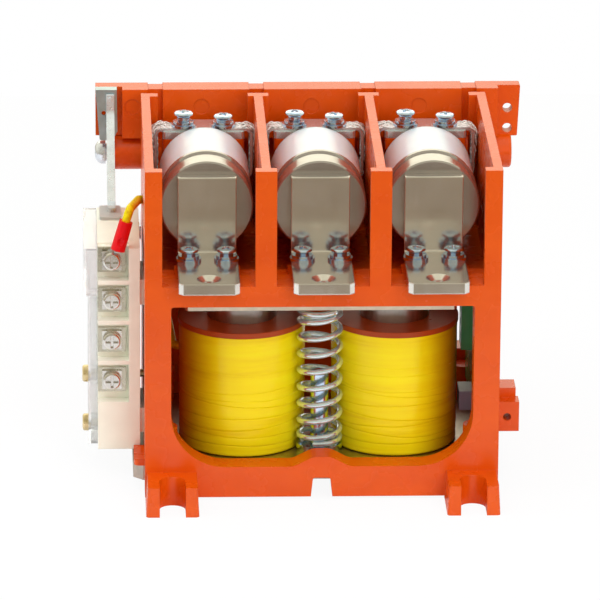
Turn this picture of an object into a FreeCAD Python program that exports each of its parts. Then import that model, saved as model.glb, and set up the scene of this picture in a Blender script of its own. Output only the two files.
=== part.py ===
import FreeCAD, Part
import math
import os
from FreeCAD import Vector

# Three-pole vacuum contactor, drawn open. Millimetres, X right, Y backward from the
# front face of the moulded frame, Z up from the mounting surface.

os.makedirs("parts", exist_ok=True)

# Driving dimensions of the moulded frame
FRAME_W = 187.0
FRAME_D = 144.0
FRAME_TOP = 182.0
WALL = 4.8
SEAT_GAP = 0.3
RUN_GAP = 0.05
BORE_GAP = 0.3

HALF_W = FRAME_W / 2
WALL_IN = HALF_W - WALL
END_MARGIN = 3.5
POLE_PITCH = (FRAME_W - 2 * END_MARGIN) / 3
POLES = (-POLE_PITCH, 0.0, POLE_PITCH)

# Frame panel, opening and floor
PANEL_T = 14.0
PANEL_BOTTOM = 1.7
BARRIER_H = 63.2
SILL_TOP = FRAME_TOP - BARRIER_H
SILL_T = 11.1
SILL_BOTTOM = SILL_TOP - SILL_T
STILE_W = 13.8
OPENING_HALF = HALF_W - STILE_W
OPENING_BOTTOM = 18.5
OPENING_R = 29.0
HUMP_HALF = 15.0
HUMP_TOP_HALF = 4.75
HUMP_H = 5.4
HUMP_R = 9.0
NOTCH_HALF = 4.6
NOTCH_H = 10.5
FLOOR_TOP = SILL_BOTTOM + 4.3
STEP_TOP = FLOOR_TOP + 4.0
LEDGE_DEPTH = 21.0
STEP_DEPTH = 38.0
FLANGE_IN = 9.1
FLANGE_T = 6.6
BACK_FLANGE_T = 6.0
INNER_FLANGE_HALF = 5.6

# Feet and rear bar
FOOT_OUT = 26.0
FOOT_H = 16.0
FOOT_HALF = 14.0
FOOT_DRAFT = 0.9
FOOT_R = 1.8
FOOT_X = HALF_W - 14.2
SLOT_HALF = 6.85
SLOT_DEPTH = 18.5
REAR_BAR_T = 14.0
REAR_BAR_Y = FRAME_D - REAR_BAR_T
REAR_BAR_TOP = 39.5
REAR_WEB_T = 4.5
REAR_WEB_IN = 21.0
MIDDLE_WEB_HALF = 13.0
MIDDLE_WEB_DROP = 19.0

# Side lug
LUG_LOW_OUT = 12.9
LUG_HIGH_OUT = 11.5
LUG_BOTTOM = 27.0
LUG_LOW_TOP = 43.4
LUG_HIGH_TOP = 48.6
LUG_Y0 = 30.0
LUG_STEP_Y = 39.0
LUG_Y1 = 52.0
LUG_HOLE_OUT = 6.5
LUG_HOLE_Z = 35.0

# Yoke plate and its posts
YOKE_BOTTOM = 6.5
YOKE_T = 8.0
YOKE_TOP = YOKE_BOTTOM + YOKE_T
YOKE_LEFT = HALF_W + 6.0
YOKE_RIGHT = HALF_W + 0.7
YOKE_FRONT = PANEL_T + SEAT_GAP
YOKE_BACK = REAR_BAR_Y - SEAT_GAP
YOKE_CHAMFER = 5.0
YOKE_FLANGE_H = 3.4
POST_R = 6.0
POST_X = WALL_IN - 6.7
POST_YS = (YOKE_FRONT + 8.7, REAR_BAR_Y - 9.0)
POST_TOP = 34.0

# Magnet
COIL_GAP = 13.6
COIL_X = OPENING_HALF / 2 + 0.95
COIL_R = COIL_X - COIL_GAP / 2
RIM_OVER = 0.3
COIL_RIM_R = COIL_R + RIM_OVER
LOWER_RIM_R = COIL_R - 6.0
COIL_Y = PANEL_T + 11.4 + COIL_R
RIM_T = 3.0
TUBE_R = 15.0
CORE_R = 12.0
SHOE_R = 18.5
SHOE_T = 8.4
ARMATURE_DROP = 15.0
POLE_FACE = SILL_BOTTOM - ARMATURE_DROP
BOBBIN_BASE = YOKE_TOP + SEAT_GAP
BOBBIN_TOP = POLE_FACE - SHOE_T
M8_R = 4.0
M8_TAP_R = 3.4
M6_R = 3.0
M6_TAP_R = 2.5
M5_R = 2.5
M5_TAP_R = 2.1

# Return spring and its guide
GUIDE_ROD_R = 4.75
GUIDE_ROD_TOP = 60.0
RETURN_MEAN_R = 11.0
RETURN_WIRE = 1.3
RETURN_TURNS = 9.37
RETURN_START = 217.1
TURN_GAP = 0.12
TURN_STEPS = 24
SPRING_OUT_R = RETURN_MEAN_R + RETURN_WIRE
SPRING_CLEAR = 0.55
SPRING_Y = COIL_Y - math.sqrt((COIL_RIM_R + SPRING_OUT_R + SPRING_CLEAR) ** 2 - COIL_X**2)
GUIDE_SEAT = YOKE_TOP + 5.7

# Swing arm, drawn closed and then turned open
PIVOT_Y = FRAME_D + 6.0
PIVOT_Z = SILL_TOP - 17.8
SHAFT_R = 4.0
OPEN_ANGLE = 2.4
HUB_R = 9.5
EAR_R = 11.0
ARM_HALF = WALL_IN - 4.7
ARM_BACK = PIVOT_Y + 13.5
WEB_T = 8.0
BEAM_FRONT = PIVOT_Y - 2.8
BEAM_LEFT = HALF_W + 24.5
BEAM_RIGHT = HALF_W + 20.2
BEAM_BOTTOM = FRAME_TOP - 27.3
END_FRONT = ARM_BACK - WEB_T
BLOCK_LEFT = BEAM_LEFT - 14.5
BLOCK_RIGHT = BEAM_RIGHT - 12.5
BEAM_NOTCH_HALF = 4.0
BEAM_NOTCH_D = 4.6
NOTCH_XS = (-ARM_HALF - 1.4, -POLE_PITCH / 2 - 0.4, POLE_PITCH / 2 + 0.4, ARM_HALF + 1.4)
MARK_XS = (-BEAM_LEFT + 20.0, -POLE_PITCH - 0.4, -0.6, POLE_PITCH - 2.0)
MARK_Z = FRAME_TOP - 9.6
MARK_R = 4.2
BOSS_R = 9.6
BOSS_Y = PIVOT_Y + 6.2
BOSS_Z = BEAM_BOTTOM - 9.7
BOSS_LEFT = BEAM_LEFT - 10.2
BOSS_RIGHT = BEAM_RIGHT - 4.6
END_HOLE_R = 2.6
END_HOLE_X = BEAM_RIGHT - 6.9
END_HOLE_ZS = (FRAME_TOP - 12.8, BEAM_BOTTOM + 3.2)
POCKET_HALF = 22.0

# Armature and its screws
ARMATURE_T = 6.5
ARMATURE_FRONT = SPRING_Y - SPRING_OUT_R - 0.3
ARMATURE_BACK = PIVOT_Y - 38.0
ARMATURE_HALF = COIL_X + 31.2
ARMATURE_NECK = ARMATURE_HALF - 14.0
ARMATURE_WAIST = COIL_Y + SHOE_R
ARMATURE_TOP = POLE_FACE + ARMATURE_T
LEG_T = 5.0
LEG_FRONT = ARMATURE_BACK - 16.0
ARM_SCREW_X = COIL_X - 2.8
ARM_SCREW_Y = ARMATURE_BACK - 8.0
ARM_HEAD_H = 2.6
ARM_HEAD_ACROSS = 10.0
COUNTERBORE_R = 6.5

# Vacuum tubes
TUBE_Z = FRAME_TOP - 33.4
TUBE_RIM_R = POLE_PITCH / 2 - 5.3
CERAMIC_R = TUBE_RIM_R - 0.6
REAR_CAP_R = CERAMIC_R - 0.6
TUBE_FRONT = 46.2
CAP_END = TUBE_FRONT + 21.4
TUBE_BACK = FRAME_D - 29.0
CERAMIC_END = TUBE_BACK - 4.4
CAP_WALL = 1.4
CERAMIC_WALL = 3.2
STEM_R = 6.0
CONTACT_R = 14.0
CONTACT_T = 3.4
CONTACT_Y = CAP_END + 12.4
LEVER = TUBE_Z - PIVOT_Z
TRAVEL = LEVER * math.radians(OPEN_ANGLE)
BELLOWS_R = 10.5

# Front terminals
LEG_W = 31.0
TAB_W = 32.0
BAR_T = 6.0
LEG_TOP = TUBE_Z + 17.7
TAB_TOP = SILL_TOP + BAR_T
LEG_FACE = TUBE_FRONT - BAR_T
TAB_FRONT = -13.8
TAB_HOLE_Y = TAB_FRONT + 9.6
TAB_SINK_R = 6.6
TAB_SINK = 2.4
SCREW_PITCH = 20.0
FRONT_SCREW_Y = LEG_FACE - 12.6
INSERT_PAD_BACK = 37.0

# Rear terminals and their shelves
REAR_TOP = FRAME_TOP - 14.5
REAR_T = 4.0
BRAID_OUT = POLE_PITCH / 2 - 4.2
REAR_HALF = BRAID_OUT - 3.8
REAR_FRONT = TUBE_BACK + 4.0
REAR_BACK = FRAME_D - BACK_FLANGE_T
REAR_NOSE = FRAME_D - 1.5
REAR_NOSE_HALF = 8.0
REAR_SCREW_Y = REAR_FRONT + 6.5
REAR_SCREW_PITCH = 21.4
SHELF_TOP = REAR_TOP - REAR_T
SHELF_BOTTOM = SHELF_TOP - 6.5
WALL_FRONT = FRAME_D - 10.0
WALL_BACK = FRAME_D - 4.0
BRACE_HALF = REAR_HALF - 3.0
SLEEVE_R = 8.0

# Screws and washers
HEAD_R = 5.2
HEAD_H = 3.8
HEAD_CROWN = 2.0
FLAT_R = 6.7
WASHER_T = 1.5
SPRING_R = 5.6
RECESS_HALF = 0.7
RECESS_LONG = 3.4
RECESS_D = 1.6
SCREW_LENGTH = 12.5
LIFT_LEFT = 1.6

# Braids
BRAID_T = 1.5
BRAID_W = 11.0
BRAID_Y = REAR_SCREW_Y + 0.5
BRAID_R = 3.6
BLOCK_HALF = 8.0
BLOCK_BOTTOM = TUBE_Z - 6.6
BLOCK_TOP = TUBE_Z + 6.6
BLOCK_FRONT = BRAID_Y - BRAID_W / 2
BLOCK_BACK = BLOCK_FRONT + 12.0
BRAID_LOW = BLOCK_BOTTOM - BRAID_T

# Auxiliary switch
AUX_GAP = 2.0
AUX_W = 22.5
AUX_RIGHT = -HALF_W - AUX_GAP
AUX_LEFT = AUX_RIGHT - AUX_W
AUX_FRONT = 38.0
AUX_FACE = AUX_FRONT + 7.0
AUX_BACK = FRAME_D - 34.0
AUX_BOTTOM = 15.5
AUX_TOP = SILL_TOP + 9.2
AUX_WALL = 2.0
AUX_RIB = 6.0
AUX_BLOCK_TOP = 42.0
AUX_FIRST = AUX_TOP - 7.8
AUX_LAST = AUX_BLOCK_TOP + 11.0
AUX_PITCH = (AUX_FIRST - AUX_LAST) / 3
AUX_SCREW_X = AUX_LEFT + 7.6
COVER_LEFT = AUX_LEFT - 5.0
COVER_BULGE = AUX_LEFT - 7.3
COVER_STEP = AUX_TOP - 26.4
COVER_WALL = 1.3
MOUNT_Y = AUX_FACE + 15.0
MOUNT_ZS = (AUX_BLOCK_TOP + 8.8, AUX_BOTTOM + 7.6)
TAB_HEIGHTS = ((AUX_BLOCK_TOP - 17.6, AUX_BLOCK_TOP - 4.0), (AUX_TOP - 32.0, AUX_TOP - 18.0))
PLUNGER_X = AUX_LEFT + 8.0
PLUNGER_Y = AUX_BACK - 12.0
PLUNGER_R = 2.2
GUIDE_TOP = AUX_TOP + 1.8
PLUNGER_TOP = AUX_TOP + 4.4
AUX_IN_LEFT = AUX_LEFT + AUX_WALL
AUX_IN_RIGHT = AUX_RIGHT - 3.0
AUX_IN_FRONT = AUX_FACE + 17.0
AUX_IN_BACK = AUX_BACK - 3.0
AUX_IN_BOTTOM = 34.0
AUX_IN_TOP = AUX_TOP - 3.0
ROD_BOTTOM = AUX_IN_BOTTOM + 12.0
PAIR_ZS = (AUX_TOP - 19.0, ROD_BOTTOM + 18.1)
FINGER_T = 1.2
PAD_Y = PLUNGER_Y - 1.0
STRIP_T = 1.4
CLAMP_HALF = 7.4
CLAMP_PLATE_HALF = 5.2
CLAMP_PLATE_T = 1.2
PAD_HALF = 1.5
LUG_T = 1.0

# Contact stems and their springs
SEAT_Y = PIVOT_Y - 6.6
SEAT_R = 9.0
STUD_END = ARM_BACK + 17.5
NUT_H = 5.0
NUT_ACROSS = 13.0
SPRING_MEAN_R = 6.9
SPRING_WIRE = 1.0

# Drive strip and bracket
LINK_TOP_Z = FRAME_TOP - 2.0
LINK_W = 4.4
LINK_T = 1.6
BEND_Z = FRAME_TOP - 13.0
BRACKET_T = 1.8
SCREW_DOME_R = 6.6
SCREW_DOME_H = 5.8
SPACER_R = 5.0
SPACER_T = 3.0

# Coil board
BOARD_X = WALL_IN - 5.7
BOARD_T = 1.6
BOARD_Y0 = 46.0
BOARD_Y1 = FRAME_D - 32.0
BOARD_Z0 = 30.0
BOARD_Z1 = SILL_BOTTOM - 7.7
TERMINAL_DEPTH = 6.4
RELAY_DEPTH = 7.4

# Control lead and its crimped lug
LEAD_R = 2.3
LEAD_Y = 104.0
LEAD_Z = SILL_TOP + 14.2
LEAD_X = -WALL_IN + 3.6
SLEEVE_TOP = (-HALF_W - 9.3, AUX_FRONT + 2.0, AUX_TOP + 14.5)
SLEEVE_BOTTOM = (-HALF_W - 13.7, AUX_FRONT + 1.6, AUX_TOP - 1.2)
CRIMP_R = 3.9
CRIMP_TAPER = 0.3
CRIMP_BORE = 1.6
DENT_R = 2.6
DENT_D = 1.4
LEAD_START_Z = BOBBIN_TOP - 22.3
LEAD_START_ANGLE = 21.7
LEAD_SLOT_R = LEAD_R + 1.6
LEAD_SLOT = ((LEAD_Y - 3.0, LEAD_Z + 1.3), (LEAD_Y - 17.5, LEAD_Z + 6.9))


def box(x0, x1, y0, y1, z0, z1):
    return Part.makeBox(x1 - x0, y1 - y0, z1 - z0, Vector(x0, y0, z0))


def cyl(point, direction, radius, length):
    return Part.makeCylinder(radius, length, Vector(*point), Vector(*direction))


def cyl_x(x0, x1, y, z, radius):
    return cyl((x0, y, z), (1, 0, 0), radius, x1 - x0)


def cyl_y(x, y0, y1, z, radius):
    return cyl((x, y0, z), (0, 1, 0), radius, y1 - y0)


def cyl_z(x, y, z0, z1, radius):
    return cyl((x, y, z0), (0, 0, 1), radius, z1 - z0)


def joined(shapes):
    shapes = list(shapes)
    body = shapes[0].fuse(shapes[1:]) if len(shapes) > 1 else shapes[0]
    return body.removeSplitter()


def moved(shape, x=0.0, y=0.0, z=0.0):
    copy = shape.copy()
    copy.translate(Vector(x, y, z))
    return copy


def opened(shape):
    """Turns a piece of the swing arm from the closed drawing to the open rest place."""
    copy = shape.copy()
    copy.rotate(Vector(0, PIVOT_Y, PIVOT_Z), Vector(1, 0, 0), -OPEN_ANGLE)
    return copy


def outline(points, radii):
    """Closed wire through the points with each corner rounded to its radius."""
    count = len(points)
    edges = []
    ends = []
    for i in range(count):
        here = points[i]
        before = (points[i - 1] - here).normalize()
        after = (points[(i + 1) % count] - here).normalize()
        radius = radii[i]
        if radius <= 0:
            ends.append((here, here))
            continue
        half = before.getAngle(after) / 2
        reach = radius / math.tan(half)
        middle = (before + after).normalize()
        centre = here + middle * (radius / math.sin(half))
        start = here + before * reach
        stop = here + after * reach
        edges.append(Part.Arc(start, centre - middle * radius, stop).toShape())
        ends.append((start, stop))
    for i in range(count):
        start = ends[i][1]
        stop = ends[(i + 1) % count][0]
        if start.distanceToPoint(stop) > 1e-6:
            edges.append(Part.makeLine(start, stop))
    return Part.Wire(Part.__sortEdges__(edges))


def prism(points, radii, along):
    wire = outline(points, radii)
    return Part.Face(wire).extrude(Vector(*along))


def plan(corners, radius, z0, z1):
    """Plate lying flat: corners are (x, y)."""
    points = [Vector(x, y, z0) for x, y in corners]
    return prism(points, [radius] * len(points), (0, 0, z1 - z0))


def profile_x(corners, radii, x0, x1):
    """Piece with one outline along X: corners are (y, z)."""
    points = [Vector(x0, y, z) for y, z in corners]
    return prism(points, radii, (x1 - x0, 0, 0))


def profile_y(corners, radii, y0, y1):
    """Piece with one outline along Y: corners are (x, z)."""
    points = [Vector(x, y0, z) for x, z in corners]
    return prism(points, radii, (0, y1 - y0, 0))


def coil_spring(centre, length, mean_r, wire_r, turns):
    """Helical spring standing along Z from the centre of its lower end."""
    x, y, z = centre
    rise = length - 2 * wire_r
    helix = Part.makeHelix(rise / turns, rise, mean_r)
    helix.translate(Vector(x, y, z + wire_r))
    start = Vector(x + mean_r, y, z + wire_r)
    section = Part.Wire(Part.Circle(start, Vector(0, 1, 0), wire_r).toShape())
    return Part.Wire(helix).makePipeShell([section], True, True)


def save(name, *shapes):
    solids = []
    for shape in shapes:
        solids.extend(shape.Solids)
    whole = solids[0] if len(solids) == 1 else Part.makeCompound(solids)
    whole.exportStep(os.path.join("parts", name + ".step"))


def cross_head(radius, height, crown):
    """Screw head standing on z = 0 with a crossed recess."""
    body = cyl_z(0, 0, 0, height, radius)
    top = [e for e in body.Edges if abs(e.BoundBox.ZMin - height) < 1e-6 and e.Length > radius]
    body = body.makeFillet(crown, top)
    for long_x in (True, False):
        across = (RECESS_LONG, RECESS_HALF) if long_x else (RECESS_HALF, RECESS_LONG)
        slot = box(-across[0], across[0], -across[1], across[1], height - RECESS_D, height + 1)
        body = body.cut(slot)
    return body


def terminal_screw(length):
    """M6 cross-recess screw, its head seated on z = 0."""
    shank = cyl_z(0, 0, -length, 0, M6_R)
    return joined([cross_head(HEAD_R, HEAD_H, HEAD_CROWN), shank])


def spring_washer():
    """Split washer, standing on z = 0."""
    ring = cyl_z(0, 0, 0, WASHER_T, SPRING_R).cut(cyl_z(0, 0, -1, WASHER_T + 1, M6_R + BORE_GAP))
    split = box(M6_R, SPRING_R + 1, -0.5, 0.5, -1, WASHER_T + 1)
    return ring.cut(split)


def flat_washer():
    return cyl_z(0, 0, 0, WASHER_T, FLAT_R).cut(cyl_z(0, 0, -1, WASHER_T + 1, M6_R + BORE_GAP))


def hex_piece(across, height):
    """Hexagon standing on z = 0 with chamfered top corners."""
    corner = across / math.sqrt(3)
    points = [
        Vector(corner * math.cos(math.radians(60 * k)), corner * math.sin(math.radians(60 * k)), 0)
        for k in range(6)
    ]
    body = prism(points, [0] * 6, (0, 0, height))
    cone = Part.makeCone(across / 2 + height * 1.6, across / 2 - height * 0.2, height)
    return body.common(cone)


# Moulded frame
def frame_panel():
    """Front panel with its wide rounded opening, hump and bottom notch."""
    panel = box(-HALF_W, HALF_W, 0, PANEL_T, PANEL_BOTTOM, SILL_TOP)
    hump_top = OPENING_BOTTOM + HUMP_H
    corners = [
        (-OPENING_HALF, SILL_BOTTOM),
        (-OPENING_HALF, OPENING_BOTTOM),
        (-HUMP_HALF, OPENING_BOTTOM),
        (-HUMP_TOP_HALF, hump_top),
        (HUMP_TOP_HALF, hump_top),
        (HUMP_HALF, OPENING_BOTTOM),
        (OPENING_HALF, OPENING_BOTTOM),
        (OPENING_HALF, SILL_BOTTOM),
    ]
    radii = [1.5, OPENING_R, HUMP_R, HUMP_R, HUMP_R, HUMP_R, OPENING_R, 1.5]
    opening = profile_y(corners, radii, -1, PANEL_T + 1)
    notch_top = PANEL_BOTTOM + NOTCH_H
    notch = profile_y(
        [
            (-NOTCH_HALF - 1.2, PANEL_BOTTOM - 1),
            (NOTCH_HALF + 1.2, PANEL_BOTTOM - 1),
            (NOTCH_HALF, notch_top),
            (-NOTCH_HALF, notch_top),
        ],
        [0, 0, 1.2, 1.2],
        -1,
        PANEL_T + 1,
    )
    return panel.cut(opening).cut(notch)


def frame_sides():
    """Outer walls with the rear ears that carry the pivot shaft."""
    walls = []
    for side in (-1, 1):
        x0, x1 = sorted((side * HALF_W, side * WALL_IN))
        wall = box(x0, x1, PANEL_T - 1, FRAME_D, YOKE_TOP, SILL_TOP)
        barrier = box(x0, x1, 0, FRAME_D, SILL_TOP - 1, FRAME_TOP)
        ear = profile_x(
            [
                (FRAME_D - 1, PIVOT_Z - EAR_R - 6),
                (PIVOT_Y, PIVOT_Z - EAR_R),
                (PIVOT_Y + EAR_R, PIVOT_Z - EAR_R),
                (PIVOT_Y + EAR_R, PIVOT_Z + EAR_R),
                (PIVOT_Y, PIVOT_Z + EAR_R),
                (FRAME_D - 1, PIVOT_Z + EAR_R + 6),
            ],
            [0, 4, EAR_R - 0.1, EAR_R - 0.1, 4, 0],
            x0,
            x1,
        )
        walls += [wall, barrier, ear]
    return walls


def frame_flanges():
    """Front and back flanges that stiffen the four barriers."""
    pieces = []
    for y0, y1, foot in ((0, FLANGE_T, SILL_TOP - 1), (FRAME_D - BACK_FLANGE_T, FRAME_D, FLOOR_TOP - 1)):
        for side in (-1, 1):
            x0, x1 = sorted((side * HALF_W, side * (HALF_W - FLANGE_IN)))
            pieces.append(box(x0, x1, y0, y1, foot, FRAME_TOP))
        for x in (-POLE_PITCH / 2, POLE_PITCH / 2):
            pieces.append(box(x - INNER_FLANGE_HALF, x + INNER_FLANGE_HALF, y0, y1, foot, FRAME_TOP))
    for x in (-POLE_PITCH / 2, POLE_PITCH / 2):
        pieces.append(box(x - WALL / 2, x + WALL / 2, 0, FRAME_D, FLOOR_TOP - 1, FRAME_TOP))
    return pieces


def frame_floor():
    """Stepped floor under the tubes with a pad for each front terminal."""
    inner = WALL_IN + 1
    pieces = [
        box(-inner, inner, PANEL_T - 1, LEDGE_DEPTH, SILL_BOTTOM, SILL_TOP),
        box(-inner, inner, LEDGE_DEPTH - 1, STEP_DEPTH, SILL_BOTTOM, STEP_TOP),
        box(-inner, inner, STEP_DEPTH - 1, WALL_BACK, SILL_BOTTOM, FLOOR_TOP),
    ]
    for x in POLES:
        half = TAB_W / 2 + 1.5
        pieces.append(box(x - half, x + half, LEDGE_DEPTH - 1, INSERT_PAD_BACK, SILL_BOTTOM, SILL_TOP))
    return pieces


def frame_supports():
    """Braced wall and shelf behind each tube for the rear terminal."""
    pieces = []
    for x in POLES:
        wall = profile_y(
            [
                (x - BRACE_HALF - 4, FLOOR_TOP - 1),
                (x + BRACE_HALF + 4, FLOOR_TOP - 1),
                (x + BRACE_HALF, SHELF_TOP),
                (x - BRACE_HALF, SHELF_TOP),
            ],
            [0, 0, 2, 2],
            WALL_FRONT,
            WALL_BACK,
        )
        shelf = plan(
            [
                (x - REAR_HALF, REAR_FRONT),
                (x + REAR_HALF, REAR_FRONT),
                (x + REAR_HALF, WALL_BACK),
                (x - REAR_HALF, WALL_BACK),
            ],
            2.0,
            SHELF_BOTTOM,
            SHELF_TOP,
        )
        pieces += [wall, shelf]
        for side in (-1, 1):
            x0 = x + side * (BRACE_HALF - 2.5)
            brace = profile_x(
                [
                    (WALL_FRONT + 1, SHELF_BOTTOM - 10),
                    (WALL_FRONT + 1, SHELF_BOTTOM + 1),
                    (REAR_FRONT + 4, SHELF_BOTTOM + 1),
                    (REAR_FRONT + 4, SHELF_BOTTOM - 1),
                ],
                [0, 0, 0, 0],
                x0 - 1.3,
                x0 + 1.3,
            )
            pieces.append(brace)
    return pieces


def foot(x, y, outward):
    """Drafted foot with an open U slot. outward is -1 to the front, +1 to the back."""
    tip = y + outward * FOOT_OUT
    root = y - outward * 2
    rings = []
    for level, inset in ((0.0, 0.0), (FOOT_H, FOOT_DRAFT)):
        half = FOOT_HALF - inset
        end = tip - outward * inset
        corners = [
            Vector(x - half, root, level),
            Vector(x + half, root, level),
            Vector(x + half, end, level),
            Vector(x - half, end, level),
        ]
        rings.append(outline(corners, [0, 0, FOOT_R, FOOT_R]))
    body = Part.makeLoft(rings, True)
    slot_end = tip - outward * (SLOT_DEPTH - SLOT_HALF)
    y0, y1 = sorted((slot_end, tip + outward * 2))
    slot = box(x - SLOT_HALF, x + SLOT_HALF, y0, y1, -1, FOOT_H + 1)
    return body.cut(slot).cut(cyl_z(x, slot_end, -1, FOOT_H + 1, SLOT_HALF))


def frame_feet():
    """Four feet, the rear bar and the two webs that stand on it."""
    pieces = []
    for side in (-1, 1):
        pieces.append(foot(side * FOOT_X, 0.0, -1))
        pieces.append(foot(side * FOOT_X, FRAME_D, 1))
    bar = box(-HALF_W, HALF_W, REAR_BAR_Y, FRAME_D, PANEL_BOTTOM, REAR_BAR_TOP)
    web_back_y = REAR_BAR_Y + REAR_WEB_T
    left = box(-WALL_IN - 1, -WALL_IN + REAR_WEB_IN, REAR_BAR_Y, web_back_y, REAR_BAR_TOP - 1, SILL_BOTTOM + 1)
    middle_top = SILL_BOTTOM - MIDDLE_WEB_DROP
    half = MIDDLE_WEB_HALF
    middle = box(-half, half, REAR_BAR_Y, web_back_y, REAR_BAR_TOP - 1, middle_top)
    return pieces + [bar, left, middle]


def side_lug():
    """Stepped lug on the right wall for an interlock."""
    inside = HALF_W - 1
    low = box(inside, HALF_W + LUG_LOW_OUT, LUG_Y0, LUG_STEP_Y + 1, LUG_BOTTOM, LUG_LOW_TOP)
    high = box(inside, HALF_W + LUG_HIGH_OUT, LUG_STEP_Y - 1, LUG_Y1, LUG_BOTTOM, LUG_HIGH_TOP)
    hole = cyl_y(HALF_W + LUG_HOLE_OUT, LUG_Y0 - 1, LUG_Y1 + 1, LUG_HOLE_Z, M5_TAP_R)
    return joined([low, high]).cut(hole)


def frame_lugs():
    """Flange on the left wall, posts for the yoke screws and bosses inside the walls."""
    flange = plan(
        [
            (-HALF_W + 1, YOKE_FRONT),
            (-YOKE_LEFT + 0.4, YOKE_FRONT),
            (-YOKE_LEFT + 0.4, AUX_FRONT - 0.5),
            (-HALF_W + 1, AUX_FRONT - 0.5),
        ],
        0,
        YOKE_TOP,
        YOKE_TOP + YOKE_FLANGE_H,
    )
    corner = [
        e
        for e in flange.Edges
        if abs(e.CenterOfMass.x + YOKE_LEFT - 0.4) < 1e-6 and abs(e.CenterOfMass.y - YOKE_FRONT) < 1e-6
    ]
    pieces = [flange.makeFillet(3.0, corner)]
    for side in (-1, 1):
        for y in POST_YS:
            web = sorted((side * POST_X, side * (HALF_W - 1)))
            pieces.append(cyl_z(side * POST_X, y, YOKE_TOP, POST_TOP, POST_R))
            pieces.append(box(web[0], web[1], y - 2.5, y + 2.5, YOKE_TOP, POST_TOP))
    for z in MOUNT_ZS:
        pieces.append(cyl_x(-WALL_IN - 1, -WALL_IN + 7.5, MOUNT_Y, z, 5.2))
    for y in (BOARD_Y0 + 6, BOARD_Y1 - 6):
        pieces.append(cyl_x(BOARD_X + BOARD_T, WALL_IN + 1, y, BOARD_Z0 + 8, 4.0))
        pieces.append(cyl_x(BOARD_X + BOARD_T, WALL_IN + 1, y, BOARD_Z1 - 8, 4.0))
    return pieces


def frame_cuts():
    """Holes: inserts, sleeves, shaft, lead and screws."""
    tools = []
    for x in POLES:
        for side in (-1, 1):
            sx = x + side * SCREW_PITCH / 2
            tools.append(cyl_z(sx, FRONT_SCREW_Y, SILL_BOTTOM + 1.5, SILL_TOP + 1, M6_R))
            rx = x + side * REAR_SCREW_PITCH / 2
            tools.append(cyl_z(rx, REAR_SCREW_Y, SHELF_BOTTOM + 1.5, SHELF_TOP + 1, M6_R + BORE_GAP))
        tools.append(cyl_y(x, WALL_FRONT - 1, WALL_BACK + 1, TUBE_Z, SLEEVE_R))
    for side in (-1, 1):
        for y in POST_YS:
            tools.append(cyl_z(side * POST_X, y, YOKE_TOP - 1, POST_TOP - 3, M5_TAP_R))
    tools.append(cyl_x(-HALF_W - 1, HALF_W + 1, PIVOT_Y, PIVOT_Z, SHAFT_R + RUN_GAP))
    for z in MOUNT_ZS:
        tools.append(cyl_x(-HALF_W - 1, -WALL_IN + 5.5, MOUNT_Y, z, M5_TAP_R))
    tools.append(cyl_z(LEAD_X, LEAD_Y, SILL_BOTTOM - 1, FLOOR_TOP + 1, LEAD_R + BORE_GAP))
    return tools + [lead_slot()]


def lead_slot():
    """Sloping slot through the left wall for the control lead."""
    first = Vector(-HALF_W - 1, *LEAD_SLOT[0])
    second = Vector(-HALF_W - 1, *LEAD_SLOT[1])
    along = (second - first).normalize()
    side = Vector(0, -along.z, along.y) * LEAD_SLOT_R
    reach = Vector(WALL + 2, 0, 0)
    middle = prism([first + side, second + side, second - side, first - side], [0] * 4, reach)
    ends = [Part.makeCylinder(LEAD_SLOT_R, WALL + 2, p, Vector(1, 0, 0)) for p in (first, second)]
    return joined([middle] + ends)


def make_frame():
    body = joined(
        [frame_panel()]
        + frame_sides()
        + frame_flanges()
        + frame_floor()
        + frame_supports()
        + frame_feet()
        + [side_lug()]
        + frame_lugs()
    )
    save("main_frame", body.cut(frame_cuts()))


# Terminals and their screws
def front_terminal():
    """L-shaped bar about x = 0: leg against the tube, tab over the sill."""
    leg = profile_x(
        [
            (TAB_FRONT, SILL_TOP),
            (TUBE_FRONT, SILL_TOP),
            (TUBE_FRONT, LEG_TOP),
            (LEG_FACE, LEG_TOP),
            (LEG_FACE, TAB_TOP),
            (TAB_FRONT, TAB_TOP),
        ],
        [0, BAR_T + 1.0, 0.6, 0.6, 1.2, 0],
        -TAB_W / 2,
        TAB_W / 2,
    )
    front = TAB_FRONT
    shape = plan(
        [
            (-TAB_W / 2 + 2.5, front),
            (TAB_W / 2 - 2.5, front),
            (TAB_W / 2, front + 2.5),
            (TAB_W / 2, LEG_FACE - 6),
            (LEG_W / 2, LEG_FACE - 2),
            (LEG_W / 2, TUBE_FRONT),
            (-LEG_W / 2, TUBE_FRONT),
            (-LEG_W / 2, LEG_FACE - 2),
            (-TAB_W / 2, LEG_FACE - 6),
            (-TAB_W / 2, front + 2.5),
        ],
        0,
        SILL_TOP - 1,
        LEG_TOP + 1,
    )
    leg = leg.common(shape)
    tools = [cyl_z(0, TAB_HOLE_Y, SILL_TOP - 1, TAB_TOP + 1, M8_TAP_R)]
    tools.append(Part.makeCone(M8_TAP_R, TAB_SINK_R, TAB_SINK, Vector(0, TAB_HOLE_Y, TAB_TOP - TAB_SINK)))
    for side in (-1, 1):
        tools.append(
            cyl_z(side * SCREW_PITCH / 2, FRONT_SCREW_Y, SILL_TOP - 1, TAB_TOP + 1, M6_R + BORE_GAP)
        )
    return leg.cut(tools)


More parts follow.
